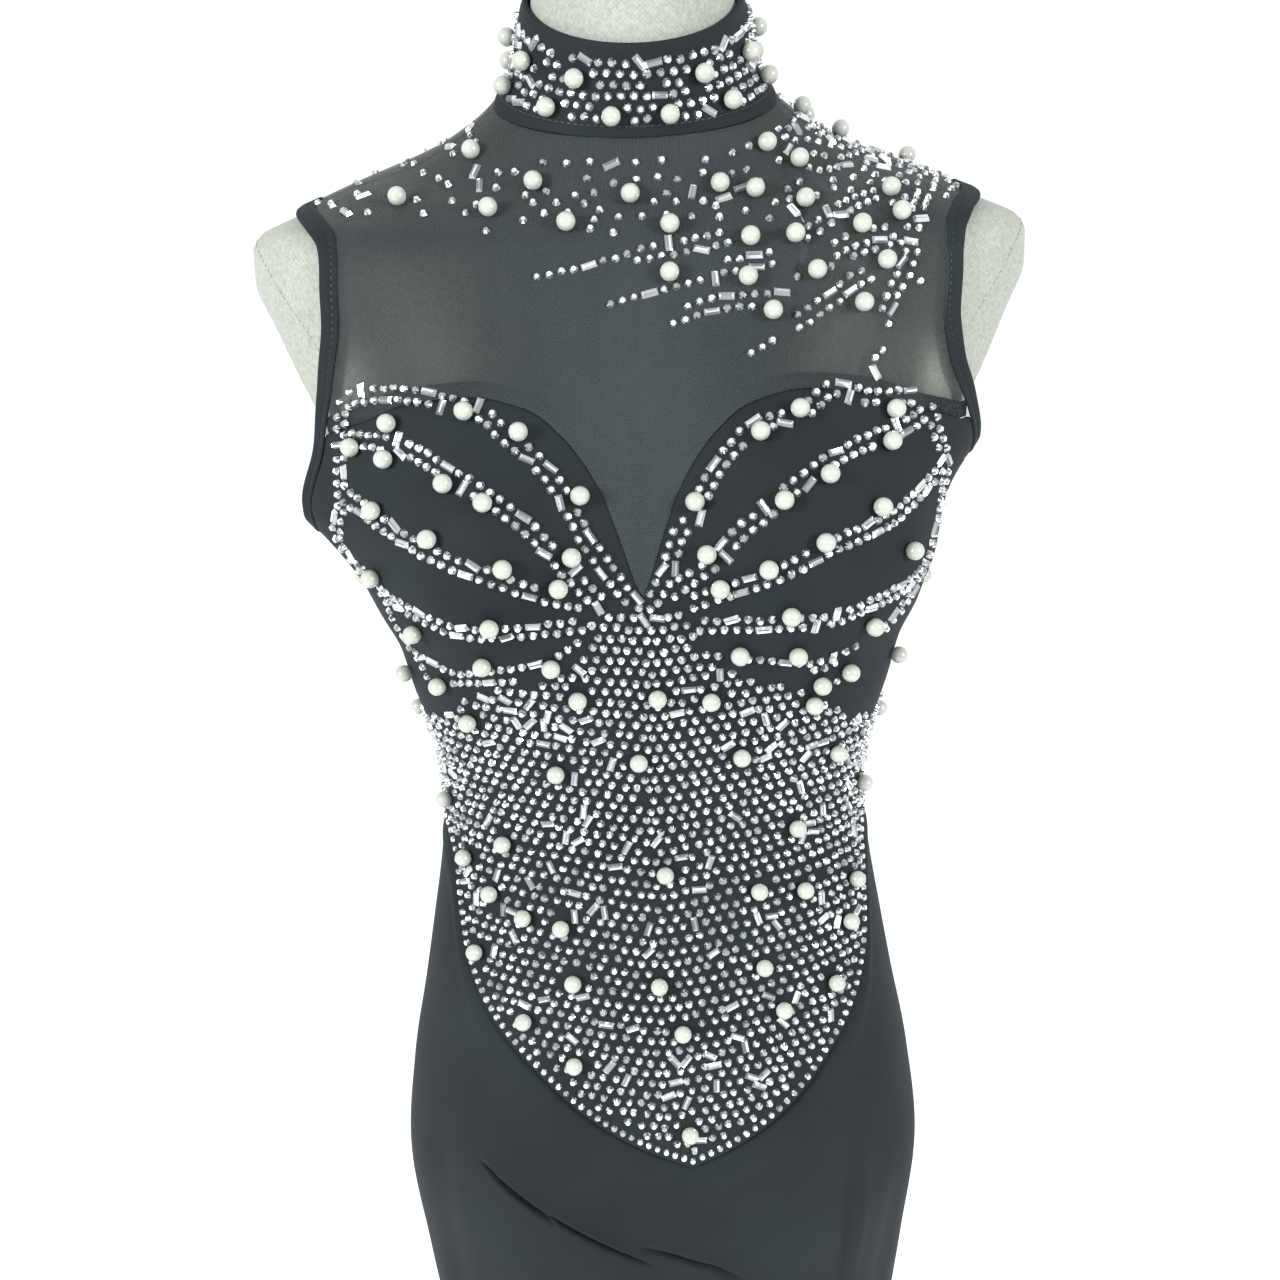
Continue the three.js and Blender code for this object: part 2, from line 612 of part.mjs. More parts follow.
// A jersey band round the armhole, laid from the seam towards the arm.
function armholeBinding(side) {
  const bottom = ARMHOLE_EDGES[side > 0 ? 'left' : 'right'][0].level;
  const above = [...BODICE_LEVELS, ...YOKE_LEVELS.slice(1)]
    .filter((level) => level >= bottom && level <= LEVEL.armholeTop);
  const loop = [
    ...above.map((level) => ({ level, edge: frontEdge })),
    ...above.slice(1, -1).reverse().map((level) => ({ level, edge: backEdge })),
  ];
  const rim = loop.map(({ level, edge }) => {
    const ends = level === bottom || level === LEVEL.armholeTop;
    const angle = degToRad(side * (ends ? 90 : edge(level, side)));
    return skinAt(angle, level);
  });
  const points = rim.flatMap(({ point, normal }, i) => {
    const next = rim[(i + 1) % rim.length].point;
    const before = rim[(i + rim.length - 1) % rim.length].point;
    const along = next.clone().sub(before).normalize();
    const inward = along.cross(normal).multiplyScalar(side).normalize();
    const corner = (reach, lift) => point.clone()
      .addScaledVector(inward, reach).addScaledVector(normal, lift);
    const low = ARMHOLE.lift - WALL.binding;
    const far = ARMHOLE.gap + ARMHOLE.band;
    const near = ARMHOLE.gap;
    return [corner(near, ARMHOLE.lift), corner(far, ARMHOLE.lift), corner(far, low), corner(near, low)];
  });
  const triangles = [];
  rim.forEach((_, i) => {
    const here = 4 * i;
    const there = 4 * ((i + 1) % rim.length);
    for (let k = 0; k < 4; k += 1) {
      const m = (k + 1) % 4;
      const ring = [here + k, here + m, there + m, here + k, there + m, there + k];
      triangles.push(...(side > 0 ? ring : ring.reverse()));
    }
  });
  return closedGeometry(points, triangles);
}

function zipChain() {
  const levels = [...span(12).map((t) => lerp(LEVEL.zipEnd, LEVEL.yokeSide, t)),
    ...YOKE_LEVELS.slice(1), ...COLLAR_LEVELS.slice(1)];
  return wall({
    columns: [-1, 1],
    rows: levels,
    thickness: ZIP.thickness,
    lift: ZIP.lift,
    place: (share, level) => ({
      angle: 180 + share * radToDeg(Math.asin(ZIP.halfWidth / section.back(level))),
      level,
    }),
  });
}

// ---------------------------------------------------------------- zip slider and pull

// The slider's own frame: x across, y down the zip, z outwards, on the flat stretch at the zip's top.
function sliderFrame() {
  const [low, high] = COLLAR_LEVELS.slice(-2).map((level) => skinAt(Math.PI, level, ZIP.lift).point);
  const across = new THREE.Vector3(1, 0, 0);
  const down = low.clone().sub(high).normalize();
  const outward = across.clone().cross(down);
  const seat = low.add(high).multiplyScalar(0.5).addScaledVector(outward, SEAM_GAP);
  return new THREE.Matrix4().makeBasis(across, down, outward).setPosition(seat);
}

const box = (wide, long, high, x, y, z) => toSolid(new THREE.BoxGeometry(wide, long, high).translate(x, y, z));

const pinAcross = (radius, length, y, z) => toSolid(
  new THREE.CylinderGeometry(radius, radius, length, 12).rotateZ(Math.PI / 2).translate(0, y, z),
);

function slider() {
  const { width, length, height, pivot } = SLIDER;
  const { thick, long, top, hole } = SLIDER_EARS;
  let solid = box(width, length, height, 0, 0, height / 2);
  for (const side of [-1, 1]) {
    solid = solid.add(box(thick, long, top - 1, side * (width - thick) / 2, 0, (top + 1) / 2));
  }
  solid = solid.subtract(pinAcross(hole, width + 2, 0, pivot));
  return toGeometry(solid).applyMatrix4(sliderFrame());
}

// The pull hangs from its pin in the slider's ears and leans in over the slider's lower end.
function pull() {
  const { width, neck, grip, thickness, length, barrel, pin, lean } = PULL;
  const solid = pinAcross(barrel, width, 0, 0)
    .add(pinAcross(pin, SLIDER.width - 0.2, 0, 0))
    .add(box(width, neck, thickness, 0, neck / 2, 0))
    .add(box(grip, length - neck, thickness, 0, neck + (length - neck) / 2, 0))
    .subtract(box(PULL_WINDOW.wide, PULL_WINDOW.long, 2 * thickness, 0, length - PULL_WINDOW.long, 0));
  const hung = toGeometry(solid).rotateX(degToRad(-lean)).translate(0, 0, SLIDER.pivot);
  return hung.applyMatrix4(sliderFrame());
}

// ---------------------------------------------------------------- dress form and stand

// How far the form lies inside the gown's outer skin: close under the shoulders and the collar,
// which carry the gown, and looser round the body.
function formInset(level) {
  const body = lerp(8, 5.3, smoothstep(level, 1180, 1262));
  const shoulder = lerp(body, 2.6, smoothstep(level, 1290, 1325));
  return lerp(shoulder, 3.4, smoothstep(level, 1380, 1398));
}

function formTorso() {
  const rings = [
    { level: LEVEL.formFoot, shrink: 0.84 },
    { level: LEVEL.formFoot + 3, shrink: 0.92 },
    { level: LEVEL.formFoot + 11, shrink: 0.975 },
    ...FORM_LEVELS.map((level) => ({ level, shrink: 1 })),
  ];
  const around = FORM_COLUMNS;
  const points = rings.flatMap(({ level, shrink }) => span(around).slice(0, -1).map((turn) => {
    const { point } = skinAt(turn * 2 * Math.PI, level, -formInset(level), false);
    return new THREE.Vector3(point.x * shrink, point.y * shrink, shrink < 1 ? level : point.z);
  }));
  const triangles = [];
  for (let ring = 0; ring < rings.length - 1; ring += 1) {
    for (let i = 0; i < around; i += 1) {
      const a = ring * around + i;
      const b = ring * around + ((i + 1) % around);
      triangles.push(a, b, b + around, a, b + around, a + around);
    }
  }
  const capCentre = (ring) => {
    const start = ring * around;
    const centre = new THREE.Vector3();
    points.slice(start, start + around).forEach((p) => centre.addScaledVector(p, 1 / around));
    points.push(centre);
    return points.length - 1;
  };
  const foot = capCentre(0);
  const head = capCentre(rings.length - 1);
  const lastRing = (rings.length - 1) * around;
  for (let i = 0; i < around; i += 1) {
    const next = (i + 1) % around;
    triangles.push(foot, next, i, head, lastRing + i, lastRing + next);
  }
  return closedGeometry(points, triangles);
}

function standBase() {
  const { baseRadius, baseHeight, bossRadius, bossHeight } = STAND;
  return turned([
    [0, 0],
    [baseRadius - 2, 0],
    [baseRadius, 2],
    [baseRadius, baseHeight - 5],
    [baseRadius - 5, baseHeight - 1],
    [bossRadius + 6, baseHeight],
    [bossRadius, baseHeight + 6],
    [bossRadius, bossHeight],
    [0, bossHeight],
  ], 36);
}

function standPole() {
  const low = STAND.bossHeight + SEAM_GAP;
  const high = LEVEL.formFoot - SEAM_GAP;
  return turned([[0, low], [STAND.poleRadius, low], [STAND.poleRadius, high], [0, high]], 24);
}

// ---------------------------------------------------------------- assembly

const finish = {
  jersey: { color: 0x33373a, roughness: 0.75, metalness: 0 },
  mesh: { color: 0x3c4141, roughness: 0.8, metalness: 0 },
  beaded: { color: 0x4a4f52, roughness: 0.6, metalness: 0.1 },
  metal: { color: 0x2a2b2d, roughness: 0.35, metalness: 0.9 },
  linen: { color: 0xdfe3dc, roughness: 0.9, metalness: 0 },
  enamel: { color: 0x1d1e20, roughness: 0.4, metalness: 0.6 },
};

const gown = new THREE.Group();

function addPiece(name, geometry, look) {
  const shape = mergeVertices(geometry);
  shape.computeVertexNormals();
  const piece = new THREE.Mesh(shape, new THREE.MeshStandardMaterial(finish[look]));
  piece.name = name;
  gown.add(piece);
}

addPiece('form_torso', formTorso(), 'linen');
addPiece('stand_pole', standPole(), 'enamel');
addPiece('stand_base', standBase(), 'enamel');
addPiece('skirt_front', skirtFront(), 'jersey');
addPiece('bodice_front', withPearls('bodice_front', bodiceFront()), 'beaded');
addPiece('yoke_front', withPearls('yoke_front', yokeFront()), 'mesh');
addPiece('neckline_facing', necklineFacing(), 'jersey');
for (const [hand, side] of Object.entries(SIDE)) {
  addPiece(`skirt_back_${hand}`, skirtBack(side), 'jersey');
  addPiece(`bodice_back_${hand}`, withPearls(`bodice_back_${hand}`, bodiceBack(side)), 'beaded');
  addPiece(`yoke_back_${hand}`, withPearls(`yoke_back_${hand}`, yokeBack(side)), 'mesh');
  addPiece(`armhole_binding_${hand}`, armholeBinding(side), 'jersey');
}
addPiece('collar', withPearls('collar', collar()), 'beaded');
addPiece('zip_chain', zipChain(), 'jersey');
addPiece('zip_slider', slider(), 'metal');
addPiece('zip_pull', pull(), 'metal');

export default gown;
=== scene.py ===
# A sleeveless evening gown of black jersey and sheer mesh, set with crystals and pearls, on a linen
# dress form. Sizes are millimetres and become metres where a mesh is made. The front faces -Y and the
# wearer's left is +X. A place on the body is an angle round it in degrees, 0 at the front centre and
# 180 at the back centre, and a level, its height on the side line.
import itertools
import math
import random

import bpy
import numpy as np
from mathutils import Matrix, Vector


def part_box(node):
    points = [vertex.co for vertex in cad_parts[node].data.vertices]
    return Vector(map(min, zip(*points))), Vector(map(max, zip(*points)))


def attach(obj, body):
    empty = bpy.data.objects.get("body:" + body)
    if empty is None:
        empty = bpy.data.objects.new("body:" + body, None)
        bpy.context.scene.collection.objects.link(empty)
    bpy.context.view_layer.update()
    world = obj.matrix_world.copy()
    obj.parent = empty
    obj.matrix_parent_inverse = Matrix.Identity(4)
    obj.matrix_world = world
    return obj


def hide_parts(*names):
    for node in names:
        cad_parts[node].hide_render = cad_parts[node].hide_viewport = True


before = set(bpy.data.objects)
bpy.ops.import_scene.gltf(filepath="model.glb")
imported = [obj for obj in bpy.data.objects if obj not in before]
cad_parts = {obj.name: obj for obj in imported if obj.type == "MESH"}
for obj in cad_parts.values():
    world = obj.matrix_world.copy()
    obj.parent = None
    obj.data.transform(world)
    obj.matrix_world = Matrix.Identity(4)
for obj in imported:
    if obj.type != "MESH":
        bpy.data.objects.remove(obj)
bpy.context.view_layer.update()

# ---------------------------------------------------------------- dress form
# A padded torso with a neck and shoulder caps but no limbs, covered tightly in undyed linen. The caps
# have a cover of their own, joined to the torso by a seam round the arm's end.

MM = 0.001
GOWN = "gown_on_form"
HANDS = (("left", 1), ("right", -1))

# level, half width, depth to the front and to the back, corner (2 is an ellipse), rise to the back
SECTIONS = np.array([
    (25, 220, 205, 225, 2.0, 0), (120, 178, 166, 182, 2.0, 0), (250, 138, 124, 138, 2.0, 0),
    (380, 113, 98, 104, 2.1, 0), (480, 107, 88, 92, 2.1, 0), (600, 118, 92, 100, 2.2, 0),
    (732, 132, 97, 110, 2.2, 0), (788, 138.5, 101, 117, 2.2, 0), (845, 144.2, 104, 122, 2.2, 0),
    (900, 138, 104, 116, 2.2, 0), (947, 128.5, 100, 106, 2.2, 0), (984, 121.5, 95, 96, 2.2, 0),
    (1020, 115, 89, 87, 2.2, 0), (1050, 111, 84, 80, 2.2, 0), (1078, 112, 86, 81, 2.2, 0),
    (1100, 117, 88, 84, 2.2, 0), (1123, 123, 90, 88, 2.3, 0), (1145, 127.5, 91, 92, 2.4, 0),
    (1166, 136, 93, 95, 2.55, 0), (1185, 142.5, 94, 97, 2.6, 0), (1210, 147, 91, 98, 2.5, 0),
    (1235, 155, 86, 99, 2.45, 0), (1258, 164, 82, 99, 2.5, 0), (1278, 173, 78, 99, 2.5, 0),
    (1300, 181, 75, 98, 2.5, 0), (1320, 186, 71, 96, 2.5, 0), (1335, 186, 66, 92, 2.5, 0),
    (1344, 181, 61, 88, 2.5, 0.03), (1353, 162, 57, 84, 2.4, 0.10), (1362, 137, 54, 82, 2.3, 0.20),
    (1371, 106, 52, 78, 2.2, 0.30), (1380, 88, 51, 74, 2.1, 0.34), (1389, 75, 50, 70, 2.0, 0.37),
    (1398, 66, 49, 64, 2.0, 0.38), (1415, 56, 50, 56, 2.0, 0.42), (1432, 53, 53, 49, 2.0, 0.45),
    (1443, 50, 56, 44, 2.0, 0.46), (1500, 48, 60, 38, 2.0, 0.36),
])
BUST = {"across": 72, "level": 1210, "lift": 32, "wide": 43, "tall": 48, "fades": 0.35}
UNDERARM = {1: {"level": 1240, "lift": 7, "tall": 12}, -1: {"level": 1219, "lift": 25, "tall": 18}}
UNDERARM_WIDE = 24
HEM = {"level": 25, "top": 420, "depth": 16, "stitched": 18}
HEM_WAVES = [(0.6, 9, 0.7), (0.25, 4, -1.1), (0.15, 13, 2)]  # share, waves round the hem, start
FOOT_LEVEL = 752
NECK_TOP = 1490
FORM_AROUND = 144
FORM_ROWS = [(778, 1300, 90), (1300, NECK_TOP, 100)]  # from level, to level, rows of points
FOOT_CURVE = [(0.86, 0), (0.93, 2.5), (0.965, 6), (0.985, 11), (0.996, 18)]  # share of width, rise
FORM_INSET = 8  # how far the form lies inside the gown's skin, up to the first of these steps
INSET_STEPS = [(5.3, 1180, 1262), (2.6, 1290, 1325), (3.4, 1380, 1398)]
CAP_SEAM = {"x": 177, "z": 1335, "lean": 0.66, "levels": (1268, 1352), "proud": -0.1}
CAP_SEAM_GRID = (160, 240)
LINEN_THREAD = 2.0  # real linen has threads of 0.6 mm; these are as fine as shows


def curve(at, to):
    """A smooth curve without overshoot through the given values."""
    at, to = np.array(at, float), np.array(to, float)
    rise = np.diff(to) / np.diff(at)
    product, total = rise[:-1] * rise[1:], rise[:-1] + rise[1:]
    inner = np.where(product > 0, 2 * product / np.where(product > 0, total, 1), 0)
    slope = np.concatenate([rise[:1], inner, rise[-1:]])

    def value(where):
        where = np.clip(where, at[0], at[-1])
        i = np.clip(np.searchsorted(at, where) - 1, 0, len(rise) - 1)
        span = at[i + 1] - at[i]
        t = (where - at[i]) / span
        ends = to[i] * (1 + 2 * t) * (1 - t) ** 2 + to[i + 1] * t * t * (3 - 2 * t)
        return ends + span * (slope[i] * t * (1 - t) ** 2 - slope[i + 1] * t * t * (1 - t))

    return value


side_at, front_at, back_at, corner_at, tilt_at = (
    curve(SECTIONS[:, 0], SECTIONS[:, column]) for column in range(1, 6)
)


def smooth(value, low, high):
    t = np.clip((value - low) / (high - low), 0, 1)
    return t * t * (3 - 2 * t)


def bell(distance, width):
    return np.exp(-0.5 * (distance / width) ** 2)


def skin(angle, level, worn=True):
    """Points of the gown's outer skin, or without ease of the body under it."""
    turn = np.radians(angle)
    across, facing = np.sin(turn), np.cos(turn)
    depth = np.where(facing > 0, front_at(level), back_at(level))
    corner = corner_at(level)
    reach = np.abs(across / side_at(level)) ** corner + np.abs(facing / depth) ** corner
    radius = reach ** (-1 / corner)
    if worn:
        for side, ease in UNDERARM.items():
            from_side = np.degrees(np.arccos(np.clip(side * across, -1, 1)))
            at_level = bell(level - ease["level"], ease["tall"])
            radius = radius + ease["lift"] * bell(from_side, UNDERARM_WIDE) * at_level
        wave = sum(share * np.cos(count * turn + start) for share, count, start in HEM_WAVES)
        radius = radius + HEM["depth"] * (1 - smooth(level, HEM["level"], HEM["top"])) * wave
    x = radius * across
    pair = bell(x - BUST["across"], BUST["wide"]) + bell(x + BUST["across"], BUST["wide"])
    bust = BUST["lift"] * pair * bell(level - BUST["level"], BUST["tall"])
    y = -radius * facing - bust * smooth(facing, 0, BUST["fades"])
    return np.stack([x, y, level + tilt_at(level) * y], -1)


def unit(vectors):
    return vectors / np.linalg.norm(vectors, axis=-1, keepdims=True)


def walk(points):
    """How far along a line of points each one lies."""
    return np.concatenate([[0], np.cumsum(np.linalg.norm(np.diff(points, axis=0), axis=1))])


def skin_frame(angle, level, worn=True):
    """Points of the skin with their outward normals and their changes per degree and per level."""
    turn, climb = 0.2, 0.4
    around = skin(angle + turn, level, worn) - skin(angle - turn, level, worn)
    upward = skin(angle, level + climb, worn) - skin(angle, level - climb, worn)
    normal = unit(np.cross(around, upward))
    return skin(angle, level, worn), normal, around / (2 * turn), upward / (2 * climb)


def linear(code):
    """An sRGB hex colour as linear red, green, blue and alpha."""
    parts = [int(code[i:i + 2], 16) / 255 for i in (1, 3, 5)]
    return [p / 12.92 if p <= 0.04045 else ((p + 0.055) / 1.055) ** 2.4 for p in parts] + [1]


def feed(tree, node, inputs):
    """Sets a node's inputs, each to a value, from a socket or from another node's first output."""
    for name, value in inputs.items():
        source = value.outputs[0] if isinstance(value, bpy.types.Node) else value
        if isinstance(source, bpy.types.NodeSocket):
            tree.links.new(source, node.inputs[name])
        else:
            node.inputs[name].default_value = source


def add_node(tree, kind, inputs=None, stops=(), **settings):
    """Adds a shader node with its inputs and settings; a ramp's stops are places with colours."""
    node = tree.nodes.new("ShaderNode" + kind)
    for name, value in settings.items():
        setattr(node, name, value)
    for place, _ in stops[1:-1]:
        node.color_ramp.elements.new(place)
    for index, (place, code) in enumerate(stops):
        node.color_ramp.elements[index].position = place
        node.color_ramp.elements[index].color = linear(code)
    feed(tree, node, inputs or {})
    return node


def start_material(name):
    """A new material with its node tree and its shader."""
    material = bpy.data.materials.new(name)
    material.use_nodes = True
    return material, material.node_tree, material.node_tree.nodes["Principled BSDF"]


def thread_wave(tree, pitch, slant=0.0):
    """A wave from -1 to 1 across threads that lie pitch apart, along the cloth's own directions."""
    cloth = add_node(tree, "Attribute", attribute_name="cloth").outputs["Vector"]
    parts = add_node(tree, "SeparateXYZ", {"Vector": cloth}).outputs
    turn = 2 * math.pi / pitch
    along = add_node(tree, "Math", {0: parts["X"], 1: turn * math.cos(slant)}, operation="MULTIPLY")
    up = add_node(tree, "Math", {0: parts["Y"], 1: turn * math.sin(slant)}, operation="MULTIPLY")
    both = add_node(tree, "Math", {0: along, 1: up}, operation="ADD")
    return add_node(tree, "Math", {0: both}, operation="SINE")


def crossed_threads(tree, pitch, first=0.0, second=math.pi / 2):
    """The pattern of two sets of threads where they cross."""
    waves = {0: thread_wave(tree, pitch, first), 1: thread_wave(tree, pitch, second)}
    return add_node(tree, "Math", waves, operation="MULTIPLY")


def make_piece(name, points, faces, material, smooth_faces=True, cloth=None, body=GOWN):
    """A mesh piece from points in millimetres, riding on its body."""
    mesh = bpy.data.meshes.new(name)
    mesh.from_pydata((np.asarray(points, float).reshape(-1, 3) * MM).tolist(), [], faces)
    mesh.polygons.foreach_set("use_smooth", [smooth_faces] * len(mesh.polygons))
    mesh.materials.append(material)
    if cloth is not None:
        flat = mesh.attributes.new("cloth", "FLOAT_VECTOR", "POINT")
        flat.data.foreach_set("vector", np.asarray(cloth, np.float32).ravel())
    piece = bpy.data.objects.new(name, mesh)
    bpy.context.scene.collection.objects.link(piece)
    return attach(piece, body)


def grid_faces(rows, columns, start=0, closed=False, flip=False):
    """Quads over a grid of points, joined round to the first column if closed."""
    across = np.arange(columns if closed else columns - 1)
    row, column = np.meshgrid(np.arange(rows - 1), across, indexing="ij")
    after = (column + 1) % columns
    low, high = row * columns, (row + 1) * columns
    ring = [low + column, low + after, high + after, high + column]
    if flip:
        ring = ring[::-1]
    return (np.stack(ring, -1).reshape(-1, 4) + start).tolist()


def closed_tube(rings):
    """Points and faces of a tube of rings, closed at both ends by a fan."""
    rows, around = rings.shape[:2]
    points = np.concatenate([rings.reshape(-1, 3), rings[:1].mean(1), rings[-1:].mean(1)])
    faces = grid_faces(rows, around, closed=True)
    low, high, last = rows * around, rows * around + 1, (rows - 1) * around
    for i in range(around):
        after = (i + 1) % around
        faces.append((low, after, i))
        faces.append((high, last + i, last + after))
    return points, faces


def linen_material():
    """Undyed linen, plain woven: matte and warm, with the slubs of its uneven yarn."""
    material, tree, shader = start_material("undyed_linen_plain_weave")
    weave = crossed_threads(tree, LINEN_THREAD)
    place = add_node(tree, "TexCoord").outputs["Object"]
    slub = add_node(tree, "TexNoise", {"Vector": place, "Scale": 520, "Detail": 2})
    tone = add_node(tree, "Math", {0: weave, 1: 0.13, 2: slub}, operation="MULTIPLY_ADD")
    ramp = add_node(tree, "ValToRGB", {"Fac": tone}, stops=((0.15, "#7f837c"), (0.85, "#a0a49c")))
    bump = add_node(tree, "Bump", {"Height": tone, "Strength": 0.3, "Distance": 0.0004})
    feed(tree, shader, {"Base Color": ramp, "Normal": bump, "Roughness": 0.85,
                        "Specular IOR Level": 0.2, "Sheen Weight": 0.15})
    return material


def form_inset(level):
    inset = FORM_INSET
    for after, low, high in INSET_STEPS:
        inset = inset + (after - inset) * smooth(level, low, high)
    return inset


def dress_form():
    levels = [FOOT_LEVEL + rise for _, rise in FOOT_CURVE]
    for low, high, count in FORM_ROWS:
        levels += list(np.linspace(low, high, count))[1:]
    shrink = [share for share, _ in FOOT_CURVE] + [1] * (len(levels) - len(FOOT_CURVE))
    angle, level = np.meshgrid(np.arange(FORM_AROUND) * 360 / FORM_AROUND, levels)
    point, normal, _, _ = skin_frame(angle, level, worn=False)
    point = point - form_inset(level)[..., None] * normal
    point[..., :2] *= np.array(shrink)[:, None, None]
    points, faces = closed_tube(point)
    cloth = np.stack([np.radians(angle) * side_at(level), level, 0 * level], -1).reshape(-1, 3)
    cloth = np.vstack([cloth, [(0, FOOT_LEVEL, 0), (0, NECK_TOP, 0)]])
    piece = make_piece("form_linen", points, faces, linen_material(), cloth=cloth)
    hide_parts("form_torso")


def stamp(name, shape, faces, centres, axes, sizes, material, smooth_faces=False, painted_reflections=None):
    """One mesh with a copy of a small shape at each centre; axes are its x, y and z there."""
    shape, centres, axes = np.asarray(shape, float), np.asarray(centres, float), np.asarray(axes, float)
    sizes = np.asarray(sizes, float).reshape(len(centres), -1, 1)
    points = centres[:, None] + np.einsum("vk,nkj->nvj", shape, axes * sizes)
    starts = range(0, len(centres) * len(shape), len(shape))
    every = [tuple(start + corner for corner in face) for start in starts for face in faces]
    piece = make_piece(name, points, every, material, smooth_faces)
    # A face may carry a painted reflection, a tone from dark to white that the crystals' colour follows.
    if painted_reflections is not None:
        attribute = piece.data.attributes.new("tone", "FLOAT", "FACE")
        attribute.data.foreach_set("value", np.asarray(painted_reflections, np.float32).ravel())
    return piece


def thread_material(name, dark, pale):
    """Polyester sewing thread: twisted, with a little more shine than the cloth."""
    material, tree, shader = start_material(name)
    place = add_node(tree, "TexCoord").outputs["Object"]
    twist = add_node(tree, "TexNoise", {"Vector": place, "Scale": 2500})
    ramp = add_node(tree, "ValToRGB", {"Fac": twist}, stops=((0, dark), (1, pale)))
    feed(tree, shader, {"Base Color": ramp, "Roughness": 0.5})
    return material


STITCH = {"length": 2.3, "wide": 0.8, "thick": 0.5, "pitch": 3.2}
STITCH_SHAPE = [(-0.5, -0.3, 0), (-0.5, 0.3, 0), (0.5, 0.3, 0), (0.5, -0.3, 0),
                (-0.28, -0.2, 0.5), (-0.28, 0.2, 0.5), (0.28, 0.2, 0.5), (0.28, -0.2, 0.5)]
STITCH_FACES = [(0, 1, 2, 3), (4, 7, 6, 5), (0, 4, 5, 1), (1, 5, 6, 2), (2, 6, 7, 3), (3, 7, 4, 0)]


def stitches(name, points, normals, thread):
    """Stitches along a line of close points, one pitch apart."""
    walked = walk(points)
    stops = np.arange(0.5 * STITCH["pitch"], walked[-1], STITCH["pitch"])
    look_ahead = 0.5
    centre, ahead, up = (
        np.stack([np.interp(where, walked, values[:, k]) for k in range(3)], -1)
        for where, values in ((stops, points), (stops + look_ahead, points), (stops, normals))
    )
    along = unit(ahead - centre)
    axes = np.stack([along, np.cross(up, along), up], 1)
    sizes = np.tile([STITCH["length"], STITCH["wide"], STITCH["thick"]], (len(stops), 1))
    stamp(name, STITCH_SHAPE, STITCH_FACES, centre, axes, sizes, thread)


def cap_seams():
    """Where the caps' covers are joined to the torso's, in front and behind."""
    thread = thread_material("pale_polyester_thread", "#6f736c", "#8f938b")
    rows, columns = CAP_SEAM_GRID
    level = np.linspace(*CAP_SEAM["levels"], rows)[:, None]
    for (hand, side), (face, start) in itertools.product(HANDS, (("front", 40), ("back", 140))):
        angle = side * np.linspace(start, 90, columns) + 0 * level
        point, normal, _, _ = skin_frame(angle, level + 0 * angle, worn=False)
        point = point - (form_inset(level) - CAP_SEAM["proud"])[..., None] * normal
        leaning = CAP_SEAM["lean"] * (point[..., 2] - CAP_SEAM["z"])
        beyond = np.abs(point[..., 0]) - CAP_SEAM["x"] - leaning
        found = np.any(beyond > 0, 1) & (beyond[:, 0] < 0)
        after = np.argmax(beyond > 0, 1)[found]
        rows = np.nonzero(found)[0]
        part = (beyond[rows, after - 1] / (beyond[rows, after - 1] - beyond[rows, after]))[:, None]
        line = point[rows, after - 1] * (1 - part) + point[rows, after] * part
        stitches(f"cap_seam_{face}_{hand}", line, normal[rows, after], thread)


dress_form()
cap_seams()

# ---------------------------------------------------------------- pole and base
# A turned steel pole screwed into a pressed steel base. Both have a satin black enamel, stoved on,
# which is smooth with a faint orange peel.

POLE_RADIUS = 14
BASE_PROFILE = [(137, 0), (139.4, 0.8), (140, 2.5), (140, 7), (139, 9.6), (135, 11.4), (90, 12.4),
                (34, 13), (29, 14.5), (26.8, 17), (26, 20), (26, 38), (25, 40)]
TURNED_AROUND = 96
SHARP_FROM = math.radians(40)


def enamel_material():
    """Satin black stoved enamel: dark, smooth and slightly glossy, with orange peel."""
    material, tree, shader = start_material("black_stoved_enamel")
    place = add_node(tree, "TexCoord").outputs["Object"]
    peel = add_node(tree, "TexNoise", {"Vector": place, "Scale": 400, "Detail": 1})
    worn = add_node(tree, "TexNoise", {"Vector": place, "Scale": 30, "Detail": 4})
    ramp = add_node(tree, "ValToRGB", {"Fac": worn}, stops=((0, "#141516"), (1, "#232527")))
    bump = add_node(tree, "Bump", {"Height": peel, "Strength": 0.2, "Distance": 0.0002})
    feed(tree, shader, {"Base Color": ramp, "Normal": bump, "Roughness": 0.38})
    return material


def turned_piece(name, node, profile, material):
    """A piece turned on a lathe, from its radii and heights, closed by flat ends."""
    turn = np.arange(TURNED_AROUND) * 2 * math.pi / TURNED_AROUND
    rings = [np.stack([r * np.cos(turn), r * np.sin(turn), z + 0 * turn], -1) for r, z in profile]
    piece = make_piece(name, *closed_tube(np.array(rings)), material)
    piece.data.set_sharp_from_angle(angle=SHARP_FROM)
    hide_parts(node)


enamel = enamel_material()
pole_low, pole_high = (corner.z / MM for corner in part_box("stand_pole"))
pole_profile = [(POLE_RADIUS, pole_low), (POLE_RADIUS, pole_high)]
turned_piece("stand_pole_enamelled", "stand_pole", pole_profile, enamel)
turned_piece("stand_base_enamelled", "stand_base", BASE_PROFILE, enamel)

# ---------------------------------------------------------------- skirt
# One front and two back panels of black stretch jersey, overlocked together at the sides. They hug
# the hips, flare below the knee and end in a twin-needle hem. Handling has left pulled creases.

EDGE_ZONE = 2.8
EDGE_STEP = 0.6
KEEP_CLEAR = 0.35


